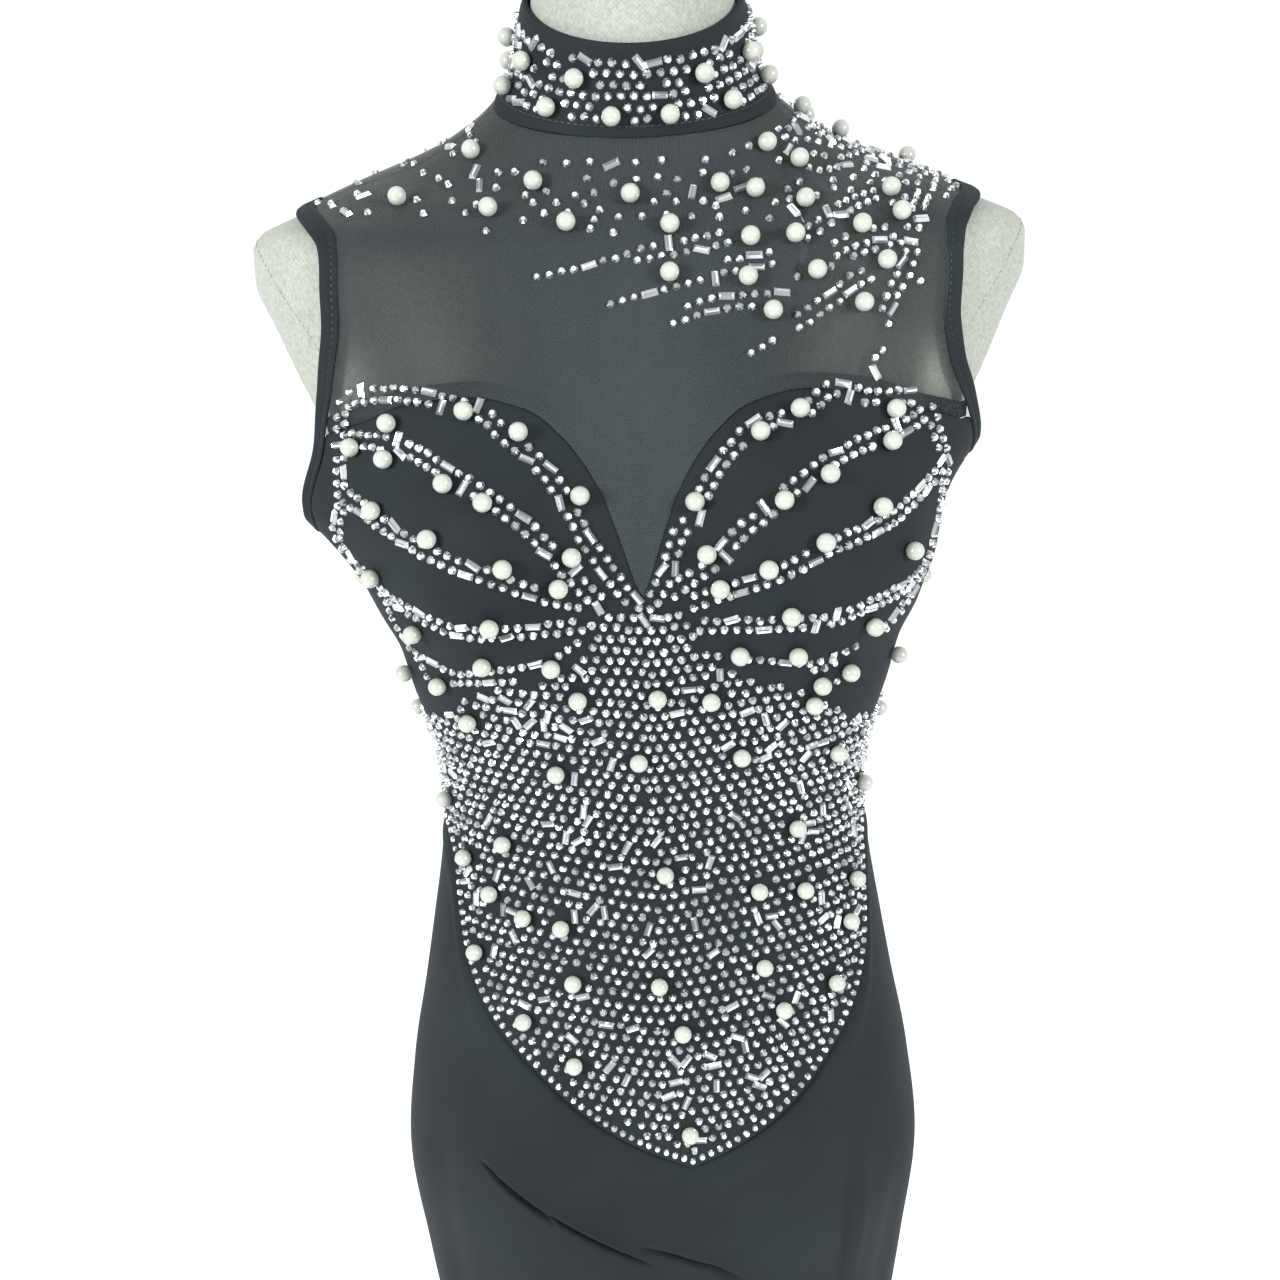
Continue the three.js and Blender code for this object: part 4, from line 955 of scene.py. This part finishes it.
# ---------------------------------------------------------------- crystals
# Clear foiled glass, glued on hot: round stones of 4 mm and slim step-cut baguettes of 7 by 3 mm. They
# run in double strands over the cups and in staggered rows below them, all round the bodice.

ROUND = {"radius": 2.1, "height": 1.6}
BAGUETTE = {"length": 7.3, "width": 3.3, "height": 1.5}
CELL = 9  # a stone's neighbours lie in the cells round its own
PEARL_ROOM = 3.6
ROUND_ROOM = 2.0
HALF_TURN, FULL_TURN = 3.14, 6.28
STRAND = {"pitch": 5.4, "width": 5.3, "first": 0.3, "slip": 0.4, "retry": 0.3, "beside_baguette": 1.3}
STRAND_BAGUETTE = {"room": 2.45, "first": (2, 5), "next": (3, 6)}
STRAND_SPINS = [0, 0, 0, 0.25, -0.3, math.pi / 2]  # most baguettes lie along their strand
FIELD = {"from": 1190.0, "to": 885, "row": 5.6, "pitch": 5.9, "per_degree": 1.9, "until": 177, "arc": 9,
         "sway": 7, "slip": (0.4, 0.7), "edge": 3.6, "baguettes": 0.07, "rooms": (2.0, 2.6)}
EDGE_ROW = {"until": 176.0, "rise": 3.4, "room": 2.1, "pitch": 5.2, "per_degree": 2.0}
COLLAR_ROWS = {"rows": 6, "low": 1406.2, "row": 5.5, "from": -173.0, "until": 174, "shift": 2.9, "slip": 0.6,
               "baguettes": 0.11, "rooms": (2.2, 2.9), "turn": math.degrees(5.9 / 53)}
SPARSE = {"rows": 7, "low": 1342, "row": 7.4, "from": -92, "until": 46, "shift": 4.0, "slip": (1.5, 1.6),
          "under_collar": 9, "kept": 0.82, "baguettes": 0.09, "rooms": (2.6, 2.6), "pitch": 10.2}

# seed, tries, centre, spread, room of a round stone, share of baguettes, lowest and highest level
SCATTERS = [
    (21, 260, (66, 1342), (9, 20), 3.0, 0.1, (1300, 1392)),
    (22, 900, (97, 1368), (16, 16), 2.7, 0.1, (1340, 1393)),
    (23, 120, (36, 1368), (14, 12), 3.2, 0.06, (1346, 1388)),
    (25, 120, (-110, 1360), (16, 14), 6.0, 0.05, (1330, 1388)),
    (26, 300, (130, 1190), (26, 18), 4.0, 0.08, (1150, 1240)),
    (27, 300, (-130, 1190), (26, 18), 4.0, 0.08, (1150, 1240)),
]
SCATTER_EDGE = 3
SCATTER_FRONT = 84  # loose stones on the bodice lie behind this angle

# rows of stones in a strand, and the places along it
STRANDS = [
    (2, [(-68, 1264), (-66, 1271), (-59, 1274), (-52, 1272), (-43, 1267), (-38, 1259), (-28, 1244),
         (-20, 1224), (-17, 1214), (-8, 1192), (-4, 1183)]),
    (2, [(-67, 1253), (-60, 1253), (-54, 1250), (-48, 1243), (-40, 1234), (-28, 1216), (-18, 1194),
         (-12, 1183)]),
    (2, [(-65, 1229), (-60, 1223), (-50, 1210), (-40, 1202), (-28, 1192), (-18, 1186)]),
    (2, [(-64, 1190), (-62, 1183), (-56, 1178), (-50, 1174), (-44, 1172), (-30, 1174), (-17, 1175)]),
    (1, [(-65, 1154), (-58, 1150), (-52, 1146), (-44, 1150), (-36, 1153), (-30, 1156), (-23, 1162),
         (-18, 1168)]),
    (1, [(-54, 1139), (-45, 1143), (-36, 1146)]),
    (2, [(-68, 1264), (-68, 1252), (-67, 1239), (-65, 1226), (-66, 1217), (-68, 1207), (-68, 1196),
         (-64, 1190)]),
    (1, [(-62, 1183), (-64, 1170), (-63, 1152), (-62, 1134)]),
    (2, [(0, 1183), (5, 1198), (8, 1214), (12, 1220), (16, 1232), (20, 1242), (24, 1249), (30, 1258),
         (36, 1261), (42, 1264), (47, 1272), (50, 1272), (54, 1268), (62, 1266)]),
    (2, [(4, 1187), (16, 1201), (23, 1214), (30, 1223), (36, 1232), (42, 1240), (51, 1249), (60, 1254),
         (64, 1260)]),
    (2, [(10, 1183), (20, 1190), (32, 1198), (38, 1204), (44, 1209), (50, 1212), (57, 1216), (62, 1222),
         (67, 1230)]),
    (2, [(12, 1172), (20, 1173), (36, 1174), (43, 1174), (53, 1178), (63, 1182), (68, 1189)]),
    (1, [(14, 1158), (22, 1156), (31, 1154), (41, 1150), (48, 1152), (52, 1155)]),
    (1, [(42, 1146), (46, 1146), (49, 1150)]),
    (1, [(45, 1134), (49, 1136), (52, 1138)]),
    (2, [(64, 1264), (65, 1254), (66, 1245), (69, 1230), (71, 1220), (72, 1208), (70, 1197), (68, 1189),
         (66, 1180), (62, 1168), (58, 1158)]),
    (1, [(-34, 1322), (-20, 1326), (-4, 1331)]),
    (2, [(-3, 1330), (8, 1332), (20, 1334), (32, 1337)]),
    (1, [(-12, 1310), (9, 1316), (26, 1320)]),
    (2, [(26, 1324), (36, 1326), (42, 1328)]),
    (1, [(14, 1308), (26, 1312), (42, 1313)]),
    (1, [(9, 1301), (24, 1306), (35, 1308)]),
    (2, [(49, 1338), (54, 1342), (60, 1351), (67, 1358), (72, 1360)]),
    (2, [(52, 1328), (56, 1333), (64, 1338)]),
    (1, [(44, 1319), (50, 1322), (54, 1326), (60, 1330), (66, 1333)]),
    (2, [(42, 1299), (50, 1309), (54, 1316), (58, 1320)]),
    (1, [(46, 1330), (49, 1334), (54, 1340)]),
    (2, [(76, 1358), (71, 1351), (67, 1342), (65, 1333), (62, 1318), (60, 1311), (58, 1298)]),
    (1, [(74, 1358), (68, 1348), (65, 1341)]),
    (1, [(58, 1288), (56, 1283), (56, 1276)]),
    (1, [(38, 1294), (31, 1287)]),
    (1, [(70, 1392), (70, 1387), (64, 1380), (68, 1374), (78, 1372)]),
]
FIELD_TOP = curve(
    [-180, -120, -90, -75, -61, -45, -28, -20, -14, -2, 9, 15, 24, 40, 50, 62, 75, 90, 120, 180],
    [1150, 1140, 1118, 1110, 1119, 1138, 1146, 1158, 1180, 1186,
     1182, 1156, 1146, 1136, 1122, 1108, 1106, 1118, 1140, 1150])
SPARSE_LOW = curve([-92, -62, -38, -4, 20, 38, 46], [1368, 1350, 1338, 1340, 1344, 1350, 1376])

placed = {}
stones = []


def spot_on_skin(angle, level):
    return skin(np.array([angle]), np.array([level]))[0]


def cell_of(point):
    return tuple(int(math.floor(c / CELL)) for c in point)


def crowded(point, room):
    """True if a stone already placed is nearer than the two need."""
    x, y, z = cell_of(point)
    for dx, dy, dz in itertools.product((-1, 0, 1), repeat=3):
        for other, other_room in placed.get((x + dx, y + dy, z + dz), ()):
            if math.dist(point, other) < room + other_room:
                return True
    return False


def keep(point, room):
    placed.setdefault(cell_of(point), []).append((tuple(point), room))


def set_stone(angle, level, kind, spin, room):
    """Sets a stone if it has room there, and says whether it did."""
    point = spot_on_skin(angle, level)
    if crowded(point, room):
        return False
    keep(point, room)
    stones.append((angle, level, kind, spin))
    return True


def set_loose(rng, angle, level, baguettes, rooms, turn=FULL_TURN):
    """Sets a stone turned at random, now and then a baguette; rooms are for a round one and for that."""
    slim = rng.random() < baguettes
    spin = rng.uniform(0, HALF_TURN if slim else turn)
    set_stone(angle, level, "baguette" if slim else "round", spin, rooms[slim])


for angle, level in pearl_spots:
    keep(spot_on_skin(angle, level), PEARL_ROOM)


def smooth_path(path):
    """Close places along a smooth line through a few."""
    steps = np.linspace(0, len(path) - 1, 40 * len(path))
    tangent = np.gradient(path, axis=0)
    low = np.clip(steps.astype(int), 0, len(path) - 2)
    t = (steps - low)[:, None]
    return ((2 * t**3 - 3 * t**2 + 1) * path[low] + (t**3 - 2 * t**2 + t) * tangent[low]
            + (3 * t**2 - 2 * t**3) * path[low + 1] + (t**3 - t**2) * tangent[low + 1])


def strand_stones(path, rows, seed):
    """Stones along a strand: round ones with a baguette every few, lying along it or across."""
    rng = random.Random(seed)
    fine = smooth_path(np.array(path, float))
    point, normal, around, upward = skin_frame(fine[:, 0], fine[:, 1])
    walked = walk(point)
    pitch = STRAND["pitch"]
    for row in range(rows):
        offset = (row - 0.5 * (rows - 1)) * STRAND["width"]
        stop = pitch * (STRAND["first"] + 0.5 * row)
        until = rng.randint(*STRAND_BAGUETTE["first"])
        while stop < walked[-1]:
            i = min(int(np.searchsorted(walked, stop)), len(fine) - 2)
            along = unit(point[i + 1] - point[i])
            across = np.cross(normal[i], along)
            slip = across * (offset + rng.uniform(-STRAND["slip"], STRAND["slip"]))
            grid = np.stack([around[i], upward[i]], 1)
            turn, climb = np.linalg.lstsq(grid, slip, rcond=None)[0]
            place = (fine[i, 0] + turn, fine[i, 1] + climb)
            if until <= 0:
                heading = math.atan2(along @ unit(upward[i]), along @ unit(around[i]))
                spin = heading + rng.choice(STRAND_SPINS)
                if set_stone(*place, "baguette", spin, STRAND_BAGUETTE["room"]):
                    until = rng.randint(*STRAND_BAGUETTE["next"])
                    stop += pitch + STRAND["beside_baguette"]
                else:
                    set_stone(*place, "round", rng.uniform(0, FULL_TURN), ROUND_ROOM)
                    stop += 0.5 * pitch
            elif set_stone(*place, "round", rng.uniform(0, FULL_TURN), ROUND_ROOM):
                until -= 1
                stop += pitch + (STRAND["beside_baguette"] if until == 0 else 0)
            else:
                stop += STRAND["retry"] * pitch


for seed, (rows, path) in enumerate(STRANDS):
    strand_stones(path, rows, seed)


def field_stones():
    """Staggered rows in gentle arcs over the bodice below the cups, with loose baguettes."""
    rng = random.Random(41)
    shift = FIELD["pitch"] / FIELD["per_degree"]
    row, base = 0, FIELD["from"]
    while base > FIELD["to"]:
        for side in (1, -1):
            angle = 0.5 * shift if row % 2 else (shift if side < 0 else 0.0)
            while angle < FIELD["until"]:
                turn = math.radians(angle)
                level = base - FIELD["arc"] * math.cos(turn) + FIELD["sway"] * math.sin(2 * turn)
                spot = side * angle + rng.uniform(-FIELD["slip"][0], FIELD["slip"][0])
                here = level + rng.uniform(-FIELD["slip"][1], FIELD["slip"][1])
                radius = float(np.linalg.norm(spot_on_skin(spot, here)[:2]))
                if float(basque(np.array(spot))) + FIELD["edge"] < here < float(FIELD_TOP(spot)):
                    set_loose(rng, spot, here, FIELD["baguettes"], FIELD["rooms"])
                angle += math.degrees(FIELD["pitch"] / radius)
        row += 1
        base -= FIELD["row"]


def edge_stones():
    """A row that follows the basque edge."""
    rng = random.Random(5)
    angle = -EDGE_ROW["until"]
    while angle < EDGE_ROW["until"]:
        level = float(basque(np.array(angle))) + EDGE_ROW["rise"]
        set_stone(angle, level, "round", rng.uniform(0, FULL_TURN), EDGE_ROW["room"])
        slope = float(basque(np.array(angle + 0.5)) - basque(np.array(angle - 0.5)))
        angle += EDGE_ROW["pitch"] / math.hypot(EDGE_ROW["per_degree"], slope)


def collar_stones():
    """Staggered rows round the collar."""
    rng = random.Random(9)
    for row in range(COLLAR_ROWS["rows"]):
        level = COLLAR_ROWS["low"] + COLLAR_ROWS["row"] * row
        angle = COLLAR_ROWS["from"] + (row % 2) * COLLAR_ROWS["shift"]
        while angle < COLLAR_ROWS["until"]:
            here = level + rng.uniform(-COLLAR_ROWS["slip"], COLLAR_ROWS["slip"])
            set_loose(rng, angle, here, COLLAR_ROWS["baguettes"], COLLAR_ROWS["rooms"])
            angle += COLLAR_ROWS["turn"]


def scatter(seed, count, centre, size, room, baguettes, level_range):
    """Loose stones round a place, thinning outwards."""
    rng = random.Random(seed)
    for _ in range(count):
        angle = centre[0] + rng.gauss(0, size[0])
        level = centre[1] + rng.gauss(0, size[1])
        if not level_range[0] < level < level_range[1]:
            continue
        turned = abs(angle)
        if turned < SCATTER_FRONT and level < YOKE_SIDE:
            continue
        front, back = front_edge(np.array(level), angle), back_edge(np.array(level), angle)
        beside = front - SCATTER_EDGE < turned < back + SCATTER_EDGE
        if not (beside and level < ARMHOLE_TOP + SCATTER_EDGE):
            set_loose(rng, angle, level, baguettes, (room, room + 0.5), HALF_TURN)


def sparse_stones():
    """Single stones in loose rows over the upper yoke."""
    rng = random.Random(31)
    for row in range(SPARSE["rows"]):
        level = SPARSE["low"] + SPARSE["row"] * row
        angle = SPARSE["from"] + SPARSE["shift"] * (row % 2)
        while angle < SPARSE["until"]:
            spot = angle + rng.uniform(-SPARSE["slip"][0], SPARSE["slip"][0])
            here = level + rng.uniform(-SPARSE["slip"][1], SPARSE["slip"][1])
            radius = float(np.linalg.norm(spot_on_skin(spot, here)[:2]))
            inside = float(SPARSE_LOW(spot)) < here < COLLAR_BASE - SPARSE["under_collar"]
            if inside and rng.random() < SPARSE["kept"]:
                set_loose(rng, spot, here, SPARSE["baguettes"], SPARSE["rooms"], HALF_TURN)
            angle += math.degrees(SPARSE["pitch"] / radius)


edge_stones()
field_stones()
collar_stones()
sparse_stones()
for row in SCATTERS:
    scatter(*row)


def crystal_material():
    """Foiled glass: metallic facets that mirror the lamps and the cloth, with a reflection also painted into
    each facet's colour, dark or white at random.
    """
    material, tree, shader = start_material("foiled_glass_crystal")
    # Each facet's painted reflection tone sets its colour, from dark grey to white.
    tone = add_node(tree, "Attribute", attribute_name="tone").outputs["Fac"]
    stops = ((0, "#4f5357"), (0.5, "#999ea1"), (1, "#ffffff"))
    ramp = add_node(tree, "ValToRGB", {"Fac": tone}, stops=stops)
    feed(tree, shader, {"Base Color": ramp, "Metallic": 0.7, "Roughness": 0.16})
    return material


TABLE = 0.58  # the flat top's share of a round stone's radius
GIRDLE = -0.05
STEP = 0.75
DISHED = 0.25
# Reflections painted into the stones' facets: a round stone's kites and girdle, its table, and a baguette's
# dished middle and bevels.
FACET_PAINTED_REFLECTIONS = (0.05, 0.3, 0.5, 0.75, 1.0), (0.12, 0.2, 0.28, 0.22, 0.18)  # painted reflection tones, from dark to white, and how common each is
TABLE_PAINTED_REFLECTIONS = (0.5, 0.75, 1.0), (0.35, 0.35, 0.3)
DISH_PAINTED_REFLECTIONS = (0.25, 0.4, 0.6)
SLOPE_PAINTED_REFLECTIONS = (0.6, 0.8, 1.0)
SETTING = {"lean": 0.06, "glue": 0.1, "uneven": 0.03, "sizes": (0.92, 1.06), "on_mesh": 0.92}
ON_CUPS = 20  # the cups' stones reach this far above the side's yoke seam


def round_cut():
    """A stone of unit radius: a table, eight kite facets and eight girdle facets."""
    points = []
    for offset, radius, height in ((0, 1, GIRDLE), (0.5, TABLE, ROUND["height"] / ROUND["radius"])):
        for k in range(8):
            turn = math.pi * (k + offset) / 4
            points.append((radius * math.cos(turn), radius * math.sin(turn), height))
    faces = [tuple(range(8, 16))]
    for k in range(8):
        after = (k + 1) % 8
        faces.append((k, after, 8 + k))
        faces.append((8 + k, after, 8 + after))
    return points, faces


def step_cut():
    """A baguette: four sloping facets round a long table, dished along its middle."""
    half, wide, high = 0.5 * BAGUETTE["length"], 0.5 * BAGUETTE["width"], BAGUETTE["height"]
    points = []
    for inwards, height in ((0, -0.1), (STEP, high)):
        x, y = half - inwards, wide - inwards
        points += [(-x, -y, height), (x, -y, height), (x, y, height), (-x, y, height)]
    x = half - 1.6 * STEP
    points += [(-x, 0, high - DISHED), (x, 0, high - DISHED)]
    return points, [(4, 5, 9, 8), (8, 9, 6, 7), (5, 6, 9), (7, 4, 8),
                    (0, 1, 5, 4), (1, 2, 6, 5), (2, 3, 7, 6), (3, 0, 4, 7)]


def owner(angle, level):
    """The part of the gown that a stone is glued to."""
    if level > COLLAR_BASE:
        return "collar"
    if level > YOKE_SIDE + ON_CUPS or (abs(angle) > 90 and level > YOKE_SIDE):
        return "yoke"
    return "bodice_front" if abs(angle) < 90 else "bodice_back"


def crystals():
    material = crystal_material()
    rng = np.random.default_rng(7)
    cuts = (("round", round_cut(), ROUND["radius"]), ("baguette", step_cut(), 1.0))
    for kind, (shape, faces), size in cuts:
        groups = {}
        for angle, level, stone_kind, spin in stones:
            if stone_kind == kind:
                groups.setdefault(owner(angle, level), []).append((angle, level, spin))
        for group, rows in groups.items():
            count = len(rows)
            angle, level, spin = np.array(rows).T
            point, normal, around, _ = skin_frame(angle, level)
            along = unit(around)
            up = np.cross(normal, along)
            lean = rng.normal(0, SETTING["lean"], (count, 2))
            axis_z = unit(normal + along * lean[:, :1] + up * lean[:, 1:])
            axis_x = along * np.cos(spin)[:, None] + up * np.sin(spin)[:, None]
            axis_x = unit(axis_x - axis_z * np.sum(axis_x * axis_z, 1, keepdims=True))
            axes = np.stack([axis_x, np.cross(axis_z, axis_x), axis_z], 1)
            lift = surface_lift(level) + folds(angle, level) + SETTING["glue"]
            # Paint a reflection into every facet at random: the tables mostly light, a baguette's dished
            # middle darker and its bevels light.
            painted_reflections = rng.choice(FACET_PAINTED_REFLECTIONS[0], (count, len(faces)), p=FACET_PAINTED_REFLECTIONS[1])
            painted_reflections[:, 0] = rng.choice(TABLE_PAINTED_REFLECTIONS[0], count, p=TABLE_PAINTED_REFLECTIONS[1])
            if kind == "baguette":
                painted_reflections[:, 1] = rng.choice(DISH_PAINTED_REFLECTIONS, count)
                painted_reflections[:, 4:] = rng.choice(SLOPE_PAINTED_REFLECTIONS, (count, 4))
            sizes = size * rng.normal(1, SETTING["uneven"], (count, 1)).clip(*SETTING["sizes"])
            if group == "yoke" and kind == "round":
                sizes = sizes * SETTING["on_mesh"]
            piece = stamp(f"crystals_{kind}_{group}", shape, faces, point + normal * lift[:, None], axes,
                          sizes, material, painted_reflections=painted_reflections)


crystals()

# ---------------------------------------------------------------- zip
# A 4 mm nylon coil zip from the collar's top to the seat, on woven tape, with an enamelled slider and
# pull. It is closed, with the slider parked at the top.

TAPE_THREAD = 1.0
ZIP = {"half": 2.0, "wall": 2.1, "lift": 0.9, "rows": 260, "columns": 7}
ZIP_CUT = ((0.010, 0.61), 0.0025)
COIL = {"pitch": 1.5, "length": 2.3, "wide": 0.9, "thick": 1.0, "aside": 0.45, "proud": 0.8, "sunk": 0.55}
COIL_ENDS = 1


def tape_material():
    """Woven nylon tape: close and matte, a little paler than the jersey."""
    material, tree, shader = start_material("black_woven_nylon_tape")
    weave = crossed_threads(tree, TAPE_THREAD)
    ramp = add_node(tree, "ValToRGB", {"Fac": weave}, stops=((0, "#121416"), (1, "#26292b")))
    feed(tree, shader, {"Base Color": ramp, "Roughness": 0.6})
    return material


def nylon_material():
    """Moulded nylon: smooth and even, glossier than the tape."""
    material, tree, shader = start_material("black_moulded_nylon")
    feed(tree, shader, {"Base Color": linear("#16181a"), "Roughness": 0.35})
    return material


def coil_tooth():
    """A tooth of unit size: a bar across the zip, narrower towards its ends."""
    shape = [(x, y * (0.5 if abs(x) > 0.4 else 1), z) for x in (-0.5, -0.3, 0.3, 0.5)
             for y, z in ((-0.5, -0.2), (0.5, -0.2), (0.3, 0.5), (-0.3, 0.5))]
    faces = [(0, 3, 2, 1), (12, 13, 14, 15)]
    for low, k in itertools.product((0, 4, 8), range(4)):
        after = (k + 1) % 4
        faces.append((low + k, low + after, low + 4 + after, low + 4 + k))
    return shape, faces


def zip_pieces():
    level = np.linspace(ZIP_END, COLLAR["top"], ZIP["rows"])[:, None]
    share = np.linspace(-1, 1, ZIP["columns"])
    angle = 180 + share * np.degrees(np.arcsin(ZIP["half"] / back_at(level)))
    shell("zip_tape_woven", (angle, level + 0 * angle), ZIP["wall"] - COIL["proud"], tape_material(),
          "zip_chain", ZIP_CUT, lift=ZIP["lift"] - COIL["proud"], rolled="")
    fine = np.linspace(ZIP_END + COIL_ENDS, COLLAR["top"] - COIL_ENDS, 4000)
    walked = walk(skin(180 + 0 * fine, fine))
    stops = np.arange(COIL_ENDS, walked[-1] - COIL_ENDS, 0.5 * COIL["pitch"])
    levels = np.interp(stops, walked, fine)
    hand = np.where(np.arange(len(levels)) % 2 == 0, 1, -1)
    turn = 180 + hand * np.degrees(np.arcsin(COIL["aside"] / back_at(levels)))
    point, normal, around, _ = skin_frame(turn, levels)
    sizes = np.tile([COIL["length"], COIL["wide"], COIL["thick"]], (len(levels), 1))
    teeth = stamp("zip_coil_nylon", *coil_tooth(), point + normal * (ZIP["lift"] - COIL["sunk"]),
                  square_axes(normal, around), sizes, nylon_material())
    for node in ("zip_slider", "zip_pull"):
        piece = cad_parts[node]
        piece.data.materials.clear()
        piece.data.materials.append(enamel)


zip_pieces()

# ---------------------------------------------------------------- hem
# The skirt's lower edge is turned up and held by a row of stitches in black polyester thread, which
# run level round the flare.
hem_angle = np.linspace(-180, 180, 1800)
hem_point, hem_normal, _, _ = skin_frame(hem_angle, HEM["level"] + HEM["stitched"] + 0 * hem_angle)
stitches("hem_stitches", hem_point, hem_normal, thread)

# ---------------------------------------------------------------- floor, light and camera
# A pale seamless floor under an even white light, with a soft lamp in front on each side.

FLOOR_HALF = 6.0
LAMPS = [("left_lamp", (-1.75, -1.55, 1.75), 62), ("right_lamp", (1.75, -1.55, 1.75), 46)]
LAMP_WIDTH = 0.7
LAMP_AIM = (0, 0, 1.15)
SKY = 1.06
CAMERA = {"place": (-0.0050, -0.720, 1.354), "pitch": 17.0, "roll": 1.65, "lens": 40.67,
          "sensor": 36, "near": 0.01}


def floor():
    material, tree, shader = start_material("pale_seamless_paper")
    place = add_node(tree, "TexCoord").outputs["Object"]
    grain = add_node(tree, "TexNoise", {"Vector": place, "Scale": 60})
    ramp = add_node(tree, "ValToRGB", {"Fac": grain}, stops=((0, "#fbfbfa"), (1, "#ffffff")))
    feed(tree, shader, {"Base Color": ramp, "Roughness": 0.9})
    mesh = bpy.data.meshes.new("floor")
    half = FLOOR_HALF
    corners = [(-half, -half, 0), (half, -half, 0), (half, half, 0), (-half, half, 0)]
    mesh.from_pydata(corners, [], [(0, 1, 2, 3)])
    mesh.materials.append(material)
    piece = bpy.data.objects.new("floor", mesh)
    bpy.context.scene.collection.objects.link(piece)


def area_light(name, place, power):
    lamp = bpy.data.lights.new(name, "AREA")
    lamp.shape = "DISK"
    lamp.size = LAMP_WIDTH
    lamp.energy = power
    holder = bpy.data.objects.new(name, lamp)
    holder.location = place
    aim = Vector(LAMP_AIM) - Vector(place)
    holder.rotation_euler = aim.to_track_quat("-Z", "Y").to_euler()
    bpy.context.scene.collection.objects.link(holder)


def studio():
    world = bpy.data.worlds.new("white_studio")
    world.use_nodes = True
    sky = world.node_tree.nodes["Background"]
    feed(world.node_tree, sky, {"Color": (1, 1, 1, 1), "Strength": SKY})
    bpy.context.scene.world = world
    bpy.context.scene.view_settings.view_transform = "Standard"
    for lamp in LAMPS:
        area_light(*lamp)
    holder = bpy.data.objects.new("camera", bpy.data.cameras.new("camera"))
    bpy.context.scene.collection.objects.link(holder)
    pitch, roll = math.radians(CAMERA["pitch"]), math.radians(CAMERA["roll"])
    right, up = Vector((1, 0, 0)), Vector((0, math.sin(pitch), math.cos(pitch)))
    back = Vector((0, -math.cos(pitch), math.sin(pitch)))
    turned_right = right * math.cos(roll) - up * math.sin(roll)
    turned_up = up * math.cos(roll) + right * math.sin(roll)
    frame_of = Matrix((turned_right, turned_up, back)).transposed().to_4x4()
    holder.matrix_world = Matrix.Translation(CAMERA["place"]) @ frame_of
    holder.data.lens = CAMERA["lens"]
    holder.data.sensor_width = CAMERA["sensor"]
    holder.data.clip_start = CAMERA["near"]
    bpy.context.scene.camera = holder


floor()
studio()
